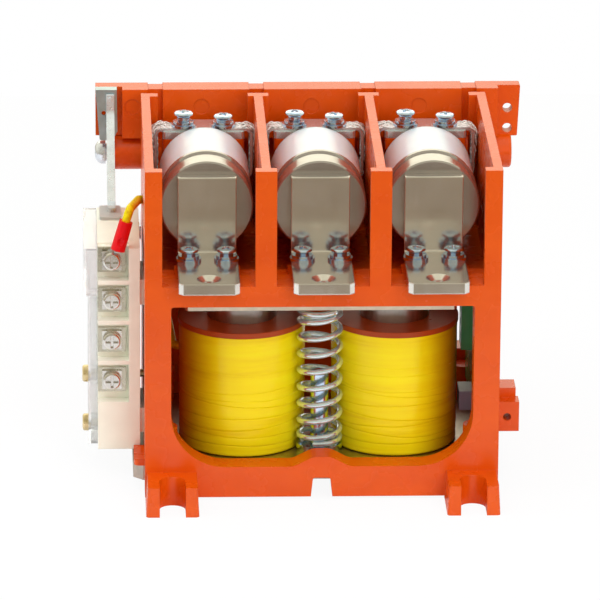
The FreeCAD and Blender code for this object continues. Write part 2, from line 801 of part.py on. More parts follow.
def rear_terminal():
    """Flat bar about x = 0 with a rounded nose at the back."""
    plate = plan(
        [(-REAR_HALF, REAR_FRONT), (REAR_HALF, REAR_FRONT), (REAR_HALF, REAR_BACK), (-REAR_HALF, REAR_BACK)],
        1.5,
        SHELF_TOP,
        REAR_TOP,
    )
    nose = plan(
        [
            (-REAR_NOSE_HALF, REAR_FRONT + 6),
            (REAR_NOSE_HALF, REAR_FRONT + 6),
            (REAR_NOSE_HALF, REAR_NOSE),
            (-REAR_NOSE_HALF, REAR_NOSE),
        ],
        4.0,
        SHELF_TOP,
        REAR_TOP,
    )
    tools = []
    for side in (-1, 1):
        tools.append(cyl_z(side * REAR_SCREW_PITCH / 2, REAR_SCREW_Y, SHELF_TOP - 1, REAR_TOP + 1, M6_R))
    return joined([plate, nose]).cut(tools)


def make_terminals():
    front = front_terminal()
    rear = rear_terminal()
    screws = []
    springs = []
    flats = []
    for number, x in enumerate(POLES, 1):
        save("front_terminal_%d" % number, moved(front, x))
        save("rear_terminal_%d" % number, moved(rear, x))
        for side in (-1, 1):
            place = (x + side * SCREW_PITCH / 2, FRONT_SCREW_Y, TAB_TOP)
            flats.append(moved(flat_washer(), *place))
            springs.append(moved(spring_washer(), place[0], place[1], place[2] + WASHER_T))
            screws.append(moved(turned_screw(side * 25 + x), place[0], place[1], place[2] + 2 * WASHER_T))
            lift = LIFT_LEFT if side < 0 else 0.0
            place = (x + side * REAR_SCREW_PITCH / 2, REAR_SCREW_Y, REAR_TOP + BRAID_T)
            flats.append(moved(flat_washer(), *place))
            springs.append(moved(spring_washer(), place[0], place[1], place[2] + WASHER_T))
            head = place[2] + 2 * WASHER_T + lift
            screws.append(moved(turned_screw(side * 40 - x), place[0], place[1], head))
    save("terminal_screws", *screws)
    save("spring_washers", *springs)
    save("flat_washers", *flats)


def turned_screw(angle):
    screw = terminal_screw(SCREW_LENGTH)
    screw.rotate(Vector(0, 0, 0), Vector(0, 0, 1), angle)
    return screw


# Vacuum tubes
def revolve_y(corners, x):
    """Ring about the tube axis: corners are (radius, y)."""
    points = [Vector(x + r, y, TUBE_Z) for r, y in corners]
    wire = Part.makePolygon(points + [points[0]])
    return Part.Face(wire).revolve(Vector(x, 0, TUBE_Z), Vector(0, 1, 0), 360)


def tube_front_cap(x):
    inner = TUBE_RIM_R - CAP_WALL
    return revolve_y(
        [
            (STEM_R + RUN_GAP, TUBE_FRONT),
            (TUBE_RIM_R - 0.8, TUBE_FRONT),
            (TUBE_RIM_R, TUBE_FRONT + 0.8),
            (TUBE_RIM_R, TUBE_FRONT + 2.6),
            (CERAMIC_R - 0.3, TUBE_FRONT + 3.4),
            (CERAMIC_R - 0.3, CAP_END - 3.0),
            (TUBE_RIM_R, CAP_END - 2.4),
            (TUBE_RIM_R, CAP_END),
            (inner - 1.0, CAP_END),
            (inner - 1.0, TUBE_FRONT + CAP_WALL + 0.6),
            (STEM_R + RUN_GAP, TUBE_FRONT + CAP_WALL + 0.6),
        ],
        x,
    )


def tube_ceramic(x):
    return revolve_y(
        [
            (CERAMIC_R - CERAMIC_WALL, CAP_END),
            (CERAMIC_R, CAP_END),
            (CERAMIC_R, CERAMIC_END),
            (CERAMIC_R - CERAMIC_WALL, CERAMIC_END),
        ],
        x,
    )


def tube_rear_cap(x):
    return revolve_y(
        [
            (STEM_R + RUN_GAP, TUBE_BACK - CAP_WALL),
            (STEM_R + RUN_GAP, TUBE_BACK),
            (TUBE_RIM_R - 4.0, TUBE_BACK),
            (REAR_CAP_R, TUBE_BACK - 3.0),
            (REAR_CAP_R, CERAMIC_END),
            (TUBE_RIM_R - 4.5, CERAMIC_END),
            (TUBE_RIM_R - 5.5, TUBE_BACK - CAP_WALL),
        ],
        x,
    )


def bellows(x):
    """Folded metal sleeve between the rear cap and the moving stem."""
    folds = 6
    start = CONTACT_Y + CONTACT_T + TRAVEL + 8.0
    stop = TUBE_BACK - CAP_WALL
    pitch = (stop - start) / folds
    outer = []
    inner = []
    for k in range(folds):
        y = start + k * pitch
        outer += [(BELLOWS_R - 2.4, y), (BELLOWS_R, y + pitch / 2)]
        inner += [(BELLOWS_R - 3.0, y), (BELLOWS_R - 0.6, y + pitch / 2)]
    outer.append((BELLOWS_R - 2.4, stop))
    inner.append((BELLOWS_R - 3.0, stop))
    return revolve_y(outer + inner[::-1], x)


def fixed_contact(x):
    """Fixed stem and contact disc, brazed to the leg of the front terminal."""
    return joined(
        [
            cyl_y(x, TUBE_FRONT, CONTACT_Y - CONTACT_T, TUBE_Z, STEM_R),
            cyl_y(x, CONTACT_Y - CONTACT_T, CONTACT_Y, TUBE_Z, CONTACT_R),
        ]
    )


def moving_stem(x):
    """Contact disc, stem and the square block that takes the braids, in one copper piece."""
    start = CONTACT_Y + TRAVEL
    disc = cyl_y(x, start, start + CONTACT_T, TUBE_Z, CONTACT_R)
    rod = cyl_y(x, start, BLOCK_FRONT + 1, TUBE_Z, STEM_R)
    block = plan_block(x)
    thread = cyl_y(x, BLOCK_BACK - 9.0, BLOCK_BACK + 1, TUBE_Z, M8_R)
    return joined([disc, rod, block]).cut(thread)


def plan_block(x):
    corners = [
        (x - BLOCK_HALF, BLOCK_BOTTOM),
        (x + BLOCK_HALF, BLOCK_BOTTOM),
        (x + BLOCK_HALF, BLOCK_TOP),
        (x - BLOCK_HALF, BLOCK_TOP),
    ]
    return profile_y(corners, [1.0] * 4, BLOCK_FRONT, BLOCK_BACK)


def web_back():
    """Y of the back of the arm web at the height of the tubes, arm open."""
    return ARM_BACK + TRAVEL


def stem_hardware(x):
    """Stud, spring seat and two adjusting nuts."""
    stud = joined(
        [
            cyl_y(x, BLOCK_BACK - 9.0, STUD_END, TUBE_Z, M8_R),
            cyl_y(x, BLOCK_BACK, SEAT_Y, TUBE_Z, M8_R + 1.2),
        ]
    )
    seat = cyl_y(x, SEAT_Y, SEAT_Y + 1.6, TUBE_Z, SEAT_R).cut(
        cyl_y(x, SEAT_Y - 1, SEAT_Y + 3, TUBE_Z, M8_R)
    )
    nuts = []
    first = web_back() + 0.6
    for start in (first, first + NUT_H):
        nut = hex_piece(NUT_ACROSS, NUT_H).cut(cyl_z(0, 0, -1, NUT_H + 1, M8_R))
        nut.rotate(Vector(0, 0, 0), Vector(1, 0, 0), -90)
        nuts.append(moved(nut, x, start, TUBE_Z))
    return [stud, seat] + nuts


def contact_spring(x):
    start = SEAT_Y + 1.6
    stop = web_back() - WEB_T - 0.5
    spring = coil_spring((0, 0, 0), stop - start, SPRING_MEAN_R, SPRING_WIRE, 3.5)
    spring.rotate(Vector(0, 0, 0), Vector(1, 0, 0), -90)
    return moved(spring, x, start, TUBE_Z)


def strap(side, x):
    """Flat braid from under a rear screw, out, down and back under the stem block."""
    half = BRAID_T / 2
    high = REAR_TOP + half
    low = BRAID_LOW + half
    start = x + side * 3.6
    stop = x + side * 1.0
    out = x + side * BRAID_OUT
    y0 = BRAID_Y - BRAID_W / 2
    path = [Vector(start, y0, high), Vector(out, y0, high), Vector(out, y0, low), Vector(stop, y0, low)]
    return ribbon(path, BRAID_R, BRAID_T, BRAID_W)


def ribbon(path, radius, thick, width):
    """Strip of even thickness that follows a path in an XZ plane."""
    inner = offset_path(path, thick / 2)
    outer = offset_path(path, -thick / 2)
    count = len(path)
    radii_in = [0] + [radius - thick / 2] * (count - 2) + [0]
    radii_out = [0] + [radius + thick / 2] * (count - 2) + [0]
    if path[1].x < path[0].x:
        radii_in, radii_out = radii_out, radii_in
    points = inner + outer[::-1]
    return prism(points, radii_in + radii_out[::-1], (0, width, 0))


def offset_path(path, distance):
    """Path moved sideways in its XZ plane, corners kept sharp."""
    result = []
    for i, here in enumerate(path):
        normals = []
        if i > 0:
            along = (here - path[i - 1]).normalize()
            normals.append(Vector(along.z, 0, -along.x))
        if i < len(path) - 1:
            along = (path[i + 1] - here).normalize()
            normals.append(Vector(along.z, 0, -along.x))
        total = Vector(0, 0, 0)
        for normal in normals:
            total = total + normal
        result.append(here + total * distance)
    return result


def make_tubes():
    caps = []
    rears = []
    folds = []
    fixed = []
    for number, x in enumerate(POLES, 1):
        caps.append(tube_front_cap(x))
        rears.append(tube_rear_cap(x))
        folds.append(bellows(x))
        fixed.append(fixed_contact(x))
        save("tube_ceramic_%d" % number, tube_ceramic(x))
        save("moving_stem_%d" % number, moving_stem(x))
        save("stem_hardware_%d" % number, *stem_hardware(x))
        save("contact_spring_%d" % number, contact_spring(x))
        braids = []
        for side in (-1, 1):
            screw_x = x + side * REAR_SCREW_PITCH / 2
            hole = cyl_z(screw_x, REAR_SCREW_Y, REAR_TOP - 1, REAR_TOP + 4, M6_R + BORE_GAP)
            braids.append(strap(side, x).cut(hole))
        save("braids_%d" % number, *braids)
    save("tube_end_caps", *caps, *rears)
    save("tube_bellows", *folds)
    save("fixed_contacts", *fixed)


# Magnet
def make_magnet():
    plate = plan(
        [
            (-YOKE_LEFT, YOKE_FRONT + YOKE_CHAMFER),
            (-YOKE_LEFT + YOKE_CHAMFER, YOKE_FRONT),
            (YOKE_RIGHT, YOKE_FRONT),
            (YOKE_RIGHT, YOKE_BACK),
            (-YOKE_LEFT, YOKE_BACK),
        ],
        0,
        YOKE_BOTTOM,
        YOKE_TOP,
    )
    tools = []
    cores = []
    bolts = []
    bobbins = []
    posts = []
    for side, name in ((-1, "left"), (1, "right")):
        x = side * COIL_X
        tools.append(cyl_z(x, COIL_Y, YOKE_BOTTOM - 1, YOKE_TOP + 1, M8_R + BORE_GAP))
        core = joined(
            [
                cyl_z(x, COIL_Y, YOKE_TOP, BOBBIN_TOP, CORE_R),
                cyl_z(x, COIL_Y, BOBBIN_TOP, POLE_FACE, SHOE_R),
            ]
        )
        cores.append(core.cut(cyl_z(x, COIL_Y, YOKE_TOP - 1, YOKE_TOP + 20, M8_R)))
        head = hex_piece(NUT_ACROSS, 5.2)
        head.rotate(Vector(0, 0, 0), Vector(1, 0, 0), 180)
        bolts.append(
            joined([moved(head, x, COIL_Y, YOKE_BOTTOM), cyl_z(x, COIL_Y, YOKE_BOTTOM, YOKE_TOP + 18, M8_R)])
        )
        bobbins.append(bobbin(x))
        save("coil_winding_" + name, coil_winding(x))
        for y in POST_YS:
            tools.append(cyl_z(side * POST_X, y, YOKE_BOTTOM - 1, YOKE_TOP + 1, M5_R + BORE_GAP))
            post_head = cyl_z(side * POST_X, y, YOKE_BOTTOM - 3.0, YOKE_BOTTOM, 4.4)
            posts.append(joined([post_head, cyl_z(side * POST_X, y, YOKE_BOTTOM - 1, POST_TOP - 6, M5_TAP_R)]))
    tools.append(cyl_z(0, SPRING_Y, YOKE_BOTTOM - 1, YOKE_TOP + 1, M6_R))
    save("yoke_plate", plate.cut(tools))
    save("magnet_cores", *cores)
    save("core_bolts", *bolts)
    save("coil_bobbins", *bobbins)
    save("frame_screws", *posts)
    guide = joined(
        [
            cyl_z(0, SPRING_Y, YOKE_TOP, GUIDE_ROD_TOP, GUIDE_ROD_R),
            cyl_z(0, SPRING_Y, YOKE_TOP, GUIDE_SEAT, SPRING_OUT_R),
            cyl_z(0, SPRING_Y, YOKE_BOTTOM, YOKE_TOP, M6_R),
        ]
    )
    rim = [e for e in guide.Edges if abs(e.BoundBox.ZMin - GUIDE_ROD_TOP) < 1e-6 and e.Length > 5]
    save("spring_guide", guide.makeChamfer(1.2, rim))


def coil_winding(x):
    """Taped winding: it wraps down over the lower rim of its former."""
    winding = cyl_z(x, COIL_Y, BOBBIN_BASE, BOBBIN_TOP - RIM_T, COIL_R)
    tube = cyl_z(x, COIL_Y, BOBBIN_BASE - 1, BOBBIN_TOP, TUBE_R)
    rim = cyl_z(x, COIL_Y, BOBBIN_BASE - 1, BOBBIN_BASE + RIM_T, LOWER_RIM_R)
    return winding.cut([tube, rim])


def bobbin(x):
    """Coil former: tube with two rims."""
    body = joined(
        [
            cyl_z(x, COIL_Y, BOBBIN_BASE, BOBBIN_TOP, TUBE_R),
            cyl_z(x, COIL_Y, BOBBIN_BASE, BOBBIN_BASE + RIM_T, LOWER_RIM_R),
            cyl_z(x, COIL_Y, BOBBIN_TOP - RIM_T, BOBBIN_TOP, COIL_RIM_R),
        ]
    )
    return body.cut(cyl_z(x, COIL_Y, 0, FRAME_TOP, CORE_R + BORE_GAP))


def spring_height(turn, low, high):
    """Height of the wire after so many turns: closed end turns, open turns between."""
    closed = 2 * RETURN_WIRE + TURN_GAP
    if turn < 1:
        return low + closed * turn
    if turn > RETURN_TURNS - 1:
        return high - closed * (RETURN_TURNS - turn)
    pitch = (high - low - 2 * closed) / (RETURN_TURNS - 2)
    return low + closed + pitch * (turn - 1)


def make_return_spring():
    """Spring with closed ends between the guide collar and the raised armature."""
    reach = PIVOT_Y - SPRING_Y - SPRING_OUT_R
    rise = reach * math.radians(OPEN_ANGLE)
    low = GUIDE_SEAT + RETURN_WIRE + 0.05
    high = POLE_FACE + rise - RETURN_WIRE - 0.25
    points = []
    steps = round(RETURN_TURNS * TURN_STEPS)
    for n in range(steps + 1):
        turn = RETURN_TURNS * n / steps
        angle = math.radians(RETURN_START) + 2 * math.pi * turn
        x = RETURN_MEAN_R * math.cos(angle)
        y = SPRING_Y + RETURN_MEAN_R * math.sin(angle)
        points.append(Vector(x, y, spring_height(turn, low, high)))
    path = Part.BSplineCurve()
    path.interpolate(points)
    tangent = path.tangent(path.FirstParameter)[0]
    section = Part.Wire(Part.Circle(points[0], tangent, RETURN_WIRE).toShape())
    save("return_spring", Part.Wire(path.toShape()).makePipeShell([section], True, True))


# Swing arm
def arm_web():
    """Back web from the hub to the beam, with a ring round each stem hole."""
    web = profile_y(
        [
            (-ARM_HALF, PIVOT_Z),
            (ARM_HALF, PIVOT_Z),
            (ARM_HALF, BEAM_BOTTOM + 1),
            (-ARM_HALF, BEAM_BOTTOM + 1),
        ],
        [0, 0, 0, 0],
        END_FRONT,
        ARM_BACK,
    )
    hub_end = WALL_IN - SEAT_GAP
    pieces = [web, cyl_x(-hub_end, hub_end, PIVOT_Y, PIVOT_Z, HUB_R)]
    for x in (-ARM_HALF + 2, -POLE_PITCH / 2, POLE_PITCH / 2, ARM_HALF - 2):
        pieces.append(
            profile_x(
                [
                    (PIVOT_Y - 6, PIVOT_Z),
                    (END_FRONT + 1, PIVOT_Z),
                    (END_FRONT + 1, BEAM_BOTTOM + 1),
                    (BEAM_FRONT + 1, BEAM_BOTTOM + 1),
                ],
                [0, 0, 0, 0],
                x - 2,
                x + 2,
            )
        )
    return pieces


def arm_beam():
    """Wide upper beam with its end plates, notches and side bosses."""
    beam = box(-BLOCK_LEFT, BLOCK_RIGHT, BEAM_FRONT, ARM_BACK, BEAM_BOTTOM, FRAME_TOP)
    left = box(-BEAM_LEFT, -BLOCK_LEFT + 1, END_FRONT - 1.0, ARM_BACK, BEAM_BOTTOM, FRAME_TOP)
    draft = 1.4
    right = profile_y(
        [
            (BLOCK_RIGHT - 1, BEAM_BOTTOM - 1.2),
            (BEAM_RIGHT - draft, BEAM_BOTTOM - 1.2),
            (BEAM_RIGHT, FRAME_TOP),
            (BLOCK_RIGHT - 1, FRAME_TOP),
        ],
        [0, 0.8, 0.8, 0],
        END_FRONT - 1.0,
        ARM_BACK,
    )
    boss = cyl_x(-BOSS_LEFT, BOSS_RIGHT, BOSS_Y, BOSS_Z, BOSS_R)
    rim = [e for e in boss.Edges if abs(e.BoundBox.XMin - BOSS_RIGHT) < 1e-6]
    boss = boss.makeFillet(1.6, rim)
    behind = BOSS_Y + BOSS_R + 1
    keep = box(-BOSS_LEFT - 1, -ARM_HALF + 2, 0, behind, 0, FRAME_TOP)
    keep = keep.fuse(box(ARM_HALF - 2, BOSS_RIGHT + 1, 0, behind, 0, FRAME_TOP))
    return [beam, left, right, boss.common(keep)]


def arm_cuts():
    """Shaft bore, stem holes, beam notches, mould marks and end holes."""
    tools = [cyl_x(-BEAM_LEFT, BEAM_LEFT, PIVOT_Y, PIVOT_Z, SHAFT_R + RUN_GAP)]
    for x in NOTCH_XS:
        x0 = x - BEAM_NOTCH_HALF
        x1 = x + BEAM_NOTCH_HALF
        tools.append(box(x0, x1, BEAM_FRONT - 1, BEAM_FRONT + BEAM_NOTCH_D, BEAM_BOTTOM - 1, FRAME_TOP + 1))
        tools.append(box(x0, x1, BEAM_FRONT - 1, ARM_BACK + 1, FRAME_TOP - 0.8, FRAME_TOP + 1))
    for x in POLES:
        tools.append(cyl_y(x, END_FRONT - 1, ARM_BACK + 1, TUBE_Z, M8_R + 0.8))
        tools.append(cyl_y(x, BEAM_FRONT - 1, END_FRONT, TUBE_Z, SEAT_R + 3.5))
        tools.append(profile_pocket(x))
    for x in MARK_XS:
        tools.append(cyl_y(x, BEAM_FRONT - 1, BEAM_FRONT + 0.35, MARK_Z, MARK_R))
    for z in END_HOLE_ZS:
        tools.append(cyl_y(END_HOLE_X, END_FRONT - 3, ARM_BACK + 1, z, END_HOLE_R))
    tools.append(cyl_x(-BOSS_LEFT - 1, -BOSS_LEFT + 14, BOSS_Y, BOSS_Z, M5_TAP_R))
    top = ARMATURE_TOP + LEG_T
    for side in (-1, 1):
        tools.append(cyl_z(side * ARM_SCREW_X, ARM_SCREW_Y, 0, top + 1, M6_R + BORE_GAP))
        tools.append(cyl_z(side * ARM_SCREW_X, ARM_SCREW_Y, top - ARM_HEAD_H, top + 1, COUNTERBORE_R))
    return tools


def profile_pocket(x):
    """Moulding pocket in the back of the beam behind each pole."""
    half = POCKET_HALF
    return profile_y(
        [
            (x - half, BEAM_BOTTOM + 9),
            (x + half, BEAM_BOTTOM + 9),
            (x + half, FRAME_TOP - 4),
            (x - half, FRAME_TOP - 4),
        ],
        [2.0] * 4,
        BEAM_FRONT + 5,
        ARM_BACK + 1,
    )


def arm_leg():
    """Forward leg that carries the armature, joined to the hub."""
    return [box(-ARMATURE_NECK, ARMATURE_NECK, LEG_FRONT, PIVOT_Y, ARMATURE_TOP, ARMATURE_TOP + LEG_T)]


def lever_bracket():
    """Folded steel bracket at the left end of the beam, with a tongue down to its ear."""
    left = -BEAM_LEFT
    foot = BEAM_BOTTOM - 1
    ear_x = -BOSS_LEFT - BRACKET_T
    back = BEAM_FRONT + BRACKET_T
    face = profile_y(
        [
            (left, FRAME_TOP),
            (left + 2.2, foot),
            (ear_x - 0.8, foot),
            (ear_x - 0.8, BOSS_Z - 9),
            (-BOSS_LEFT, BOSS_Z - 9),
            (-BOSS_LEFT, BEAM_BOTTOM + 1),
            (left + 11.9, BEAM_BOTTOM + 4),
            (left + 11.6, FRAME_TOP),
        ],
        [0, 1.2, 1.2, 0.8, 0.8, 0, 0, 0],
        BEAM_FRONT,
        back,
    )
    top = box(left, left + 11.6, BEAM_FRONT, END_FRONT - 1.0, FRAME_TOP - BRACKET_T, FRAME_TOP)
    ear = profile_x(
        [
            (BEAM_FRONT, BOSS_Z - 8.5),
            (BOSS_Y + 7.5, BOSS_Z - 8.5),
            (BOSS_Y + 7.5, BOSS_Z + 7.5),
            (BEAM_FRONT, BOSS_Z + 7.5),
        ],
        [0, 7.0, 7.0, 0],
        ear_x,
        -BOSS_LEFT,
    )
    hole = cyl_x(ear_x - 1, -BOSS_LEFT + 1, BOSS_Y, BOSS_Z, M5_R + BORE_GAP)
    small = cyl_y(left + 4.4, BEAM_FRONT - 1, back + 1, BEND_Z, 1.2)
    link = cyl_y(PLUNGER_X, BEAM_FRONT - 1, back + 1, LINK_TOP_Z - 2.6, 1.2)
    return joined([face, top, ear]).cut([hole, small, link])


def bracket_screw():
    """Domed screw along X with a spacer, into the end of the left boss."""
    head = cross_head(SCREW_DOME_R, SCREW_DOME_H, SCREW_DOME_H - 1.2)
    head.rotate(Vector(0, 0, 0), Vector(0, 1, 0), -90)
    end = -BOSS_LEFT - BRACKET_T
    outer = end - SPACER_T
    spacer = cyl_x(outer, end, BOSS_Y, BOSS_Z, SPACER_R)
    shank = cyl_x(outer, -BOSS_LEFT + 12, BOSS_Y, BOSS_Z, M5_TAP_R)
    return joined([moved(head, outer, BOSS_Y, BOSS_Z), spacer, shank])


def strip_body():
    """The strip as a folded flat bar: foot, slope and upper end."""
    top = opened(Part.Vertex(0, BEAM_FRONT, LINK_TOP_Z)).Point
    low_y = PLUNGER_Y + 5.0
    foot_z = PLUNGER_TOP + 0.2
    outer_y = top.y - (LINK_TOP_Z - BEND_Z) * math.radians(OPEN_ANGLE) - 0.1
    corners = [
        (PLUNGER_Y - 4.0, foot_z),
        (low_y, foot_z),
        (outer_y, BEND_Z),
        (outer_y, LINK_TOP_Z),
        (outer_y - LINK_T, LINK_TOP_Z),
        (outer_y - LINK_T, LINK_TOP_Z - 10.2),
        (low_y - 1.6, foot_z + LINK_T),
        (PLUNGER_Y - 4.0, foot_z + LINK_T),
    ]
    radii = [0, 2.4, 3.0, 0.5, 0.5, 3.0, 1.2, 0]
    half = LINK_W / 2
    body = profile_x(corners, radii, PLUNGER_X - half, PLUNGER_X + half)
    rivet = cyl_y(PLUNGER_X, outer_y - LINK_T - 0.9, outer_y + 1.6, LINK_TOP_Z - 2.6, 1.1)
    return joined([body, rivet])


def armature():
    """Plate over both poles, narrower behind them."""
    plate = plan(
        [
            (-ARMATURE_HALF, ARMATURE_FRONT + 1.5),
            (-ARMATURE_HALF + 1.5, ARMATURE_FRONT),
            (ARMATURE_HALF - 1.5, ARMATURE_FRONT),
            (ARMATURE_HALF, ARMATURE_FRONT + 1.5),
            (ARMATURE_HALF, ARMATURE_WAIST),
            (ARMATURE_NECK, ARMATURE_WAIST + 10),
            (ARMATURE_NECK, ARMATURE_BACK),
            (-ARMATURE_NECK, ARMATURE_BACK),
            (-ARMATURE_NECK, ARMATURE_WAIST + 10),
            (-ARMATURE_HALF, ARMATURE_WAIST),
        ],
        0,
        POLE_FACE,
        ARMATURE_TOP,
    )
    tools = []
    for side in (-1, 1):
        tools.append(cyl_z(side * ARM_SCREW_X, ARM_SCREW_Y, POLE_FACE - 1, ARMATURE_TOP + 1, M6_R))
    return plate.cut(tools)


def armature_screws():
    pieces = []
    for side in (-1, 1):
        x = side * ARM_SCREW_X
        top = ARMATURE_TOP + LEG_T - ARM_HEAD_H
        head = moved(hex_piece(ARM_HEAD_ACROSS, ARM_HEAD_H), x, ARM_SCREW_Y, top)
        pieces.append(joined([head, cyl_z(x, ARM_SCREW_Y, POLE_FACE + 0.5, top, M6_R)]))
    return pieces


def make_arm():
    body = joined(arm_web() + arm_beam() + arm_leg())
    body = body.cut(arm_cuts())
    save("swing_arm", opened(body))
    save("armature_plate", opened(armature()))
    save("armature_screws", *[opened(s) for s in armature_screws()])
    save("lever_bracket", opened(lever_bracket()))
    save("bracket_screw", opened(bracket_screw()))
    save("drive_strip", strip_body())
    end = HALF_W + 3.4
    shaft = cyl_x(-end, end, PIVOT_Y, PIVOT_Z, SHAFT_R)
    clips = []
    for side in (-1, 1):
        x0, x1 = sorted((side * (HALF_W + 0.8), side * (HALF_W + 1.8)))
        root = cyl_x(x0, x1, PIVOT_Y, PIVOT_Z, SHAFT_R - 0.7)
        shaft = shaft.cut(cyl_x(x0, x1, PIVOT_Y, PIVOT_Z, SHAFT_R + 1).cut(root))
        clip = cyl_x(x0, x1, PIVOT_Y, PIVOT_Z, SHAFT_R + 2.8).cut(root)
        clips.append(clip.cut(box(x0, x1, PIVOT_Y - 1.6, PIVOT_Y + 1.6, PIVOT_Z - 9, PIVOT_Z)))
    save("pivot_shaft", shaft)
    save("shaft_clips", *clips)


# Auxiliary switch
def aux_terminal_zs():
    return [AUX_FIRST - k * AUX_PITCH for k in range(4)]


def make_aux_body():
    core = box(AUX_LEFT, AUX_RIGHT, AUX_FACE, AUX_BACK, AUX_BOTTOM, AUX_TOP)
    rib_x = AUX_RIGHT - AUX_RIB
    pieces = [
        core,
        box(rib_x, AUX_RIGHT, AUX_FRONT, AUX_FACE + 1, AUX_BLOCK_TOP - 1, AUX_TOP),
        box(AUX_LEFT, AUX_RIGHT, AUX_FRONT, AUX_FACE + 1, AUX_BOTTOM, AUX_BLOCK_TOP),
    ]
    for z in aux_terminal_zs()[1:]:
        top = z + AUX_PITCH / 2 + 1.2
        pieces.append(box(AUX_LEFT, rib_x + 1, AUX_FRONT, AUX_FACE + 1, top - 2.4, top))
    for z0, z1 in TAB_HEIGHTS:
        pieces.append(box(AUX_RIGHT - 1, -HALF_W, AUX_FRONT + 2, AUX_FRONT + 34, z0, z1))
    body = joined(pieces)
    tools = [box(AUX_IN_LEFT, AUX_IN_RIGHT, AUX_IN_FRONT, AUX_IN_BACK, AUX_IN_BOTTOM, AUX_IN_TOP)]
    y0 = AUX_IN_FRONT + 6
    y1 = AUX_IN_BACK - 6
    tools.append(box(AUX_LEFT - 1, AUX_IN_LEFT + 1, y0, y1, AUX_IN_BOTTOM + 8, AUX_IN_TOP - 8))
    for z in MOUNT_ZS:
        tools.append(cyl_x(AUX_LEFT - 1, -HALF_W + 1, MOUNT_Y, z, M5_R + BORE_GAP))
    for k, z in enumerate(aux_terminal_zs()):
        tools.append(finger_box(k, z, 0.1, AUX_FACE - 1, AUX_IN_FRONT + 1))
        tools.append(cyl_y(AUX_SCREW_X, AUX_FACE - 1, AUX_FACE + 11, z, 2.0))
    tools.append(cyl_z(PLUNGER_X, PLUNGER_Y, AUX_IN_TOP - 1, AUX_TOP + 1, PLUNGER_R + 0.8))
    tools.append(box(AUX_LEFT - 1, rib_x, AUX_FACE - 1, AUX_FACE + 3.5, AUX_FIRST + 6.8, AUX_TOP + 1))
    save("aux_body", body.cut(tools))


def finger_z(k, z):
    """Height at which the inner finger of terminal k leaves its strip."""
    return z - 5.0 if k % 2 == 0 else z + 5.0


def finger_box(k, z, grow, y0, y1):
    middle = finger_z(k, z)
    half = FINGER_T / 2 + grow
    side = -1 if k % 2 == 0 else 1
    x = PLUNGER_X + side * 4.2
    return box(x - PAD_HALF - grow, x + PAD_HALF + grow, y0, y1, middle - half, middle + half)


def aux_terminal(k, z):
    """Terminal strip: square front plate, finger, riser and contact pad."""
    x0 = AUX_SCREW_X - CLAMP_HALF
    x1 = AUX_SCREW_X + CLAMP_HALF
    plate = box(x0, x1, AUX_FACE - STRIP_T, AUX_FACE, z - 6.8, z + 6.8)
    finger = finger_box(k, z, 0.0, AUX_FACE - STRIP_T, PAD_Y + 2)
    middle = finger_z(k, z)
    pair = PAIR_ZS[0] if k < 2 else PAIR_ZS[1]
    side = -1 if k % 2 == 0 else 1
    x = PLUNGER_X + side * 4.2
    z0, z1 = sorted((middle, pair))
    riser = box(x - PAD_HALF, x + PAD_HALF, PAD_Y + 1, PAD_Y + 2.2, z0 - FINGER_T / 2, z1 + FINGER_T / 2)
    pad = box(x - PAD_HALF, x + PAD_HALF, PAD_Y - 3, PAD_Y + 2.2, pair - FINGER_T / 2, pair + FINGER_T / 2)
    cut_end = box(x - 3, x + 3, PAD_Y + 2.2, PAD_Y + 10, z0 - 5, z1 + 5)
    body = joined([plate, finger, riser, pad]).cut(cut_end)
    return body.cut(cyl_y(AUX_SCREW_X, AUX_FACE - 5, AUX_FACE + 1, z, 2.0))


def aux_screw(z, tilt):
    """Pan screw with a square clamping washer plate."""
    head = cross_head(4.9, 3.2, 1.3)
    shank = cyl_z(0, 0, -11.0, 0, 2.0)
    half = CLAMP_PLATE_HALF
    plate = box(-half, half, -half, half, -CLAMP_PLATE_T, 0)
    body = joined([head, shank, plate])
    body.rotate(Vector(0, 0, 0), Vector(0, 0, 1), tilt)
    body.rotate(Vector(0, 0, 0), Vector(1, 0, 0), 90)
    return body


def make_aux_inside():
    zs = aux_terminal_zs()
    save("aux_terminals", *[aux_terminal(k, z) for k, z in enumerate(zs)])
    face = AUX_FACE - STRIP_T - CLAMP_PLATE_T
    screws = []
    for k, z in enumerate(zs):
        gap = LUG_T if k == 0 else 0.0
        screws.append(moved(aux_screw(z, 0.0), AUX_SCREW_X, face - gap, z))
    save("aux_screws", *screws)
    guide = plan(
        [
            (PLUNGER_X - 6.5, PLUNGER_Y - 11),
            (PLUNGER_X + 5.0, PLUNGER_Y - 11),
            (PLUNGER_X + 5.0, PLUNGER_Y + 10),
            (PLUNGER_X - 6.5, PLUNGER_Y + 10),
        ],
        1.5,
        AUX_TOP,
        GUIDE_TOP,
    )
    rod = cyl_z(PLUNGER_X, PLUNGER_Y, ROD_BOTTOM, PLUNGER_TOP, PLUNGER_R)
    collar = cyl_z(PLUNGER_X, PLUNGER_Y, ROD_BOTTOM, ROD_BOTTOM + 3, PLUNGER_R + 2.0)
    plunger = joined([rod, collar])
    bridges = []
    for z in bridge_zs():
        bridge = box(PLUNGER_X - 6.2, PLUNGER_X + 6.2, PLUNGER_Y - 5, PLUNGER_Y - 1.6, z, z + 1.0)
        bridges.append(bridge)
        plunger = plunger.cut(bridge)
    save("aux_plunger", plunger)
    save("aux_bridges", *bridges)
    save("aux_guide", guide.cut(cyl_z(PLUNGER_X, PLUNGER_Y, AUX_TOP - 1, GUIDE_TOP + 1, PLUNGER_R + 0.1)))
    spring = coil_spring(
        (PLUNGER_X, PLUNGER_Y, AUX_IN_BOTTOM), ROD_BOTTOM - AUX_IN_BOTTOM - 0.1, 3.6, 0.45, 5.0
    )
    save("aux_spring", spring)


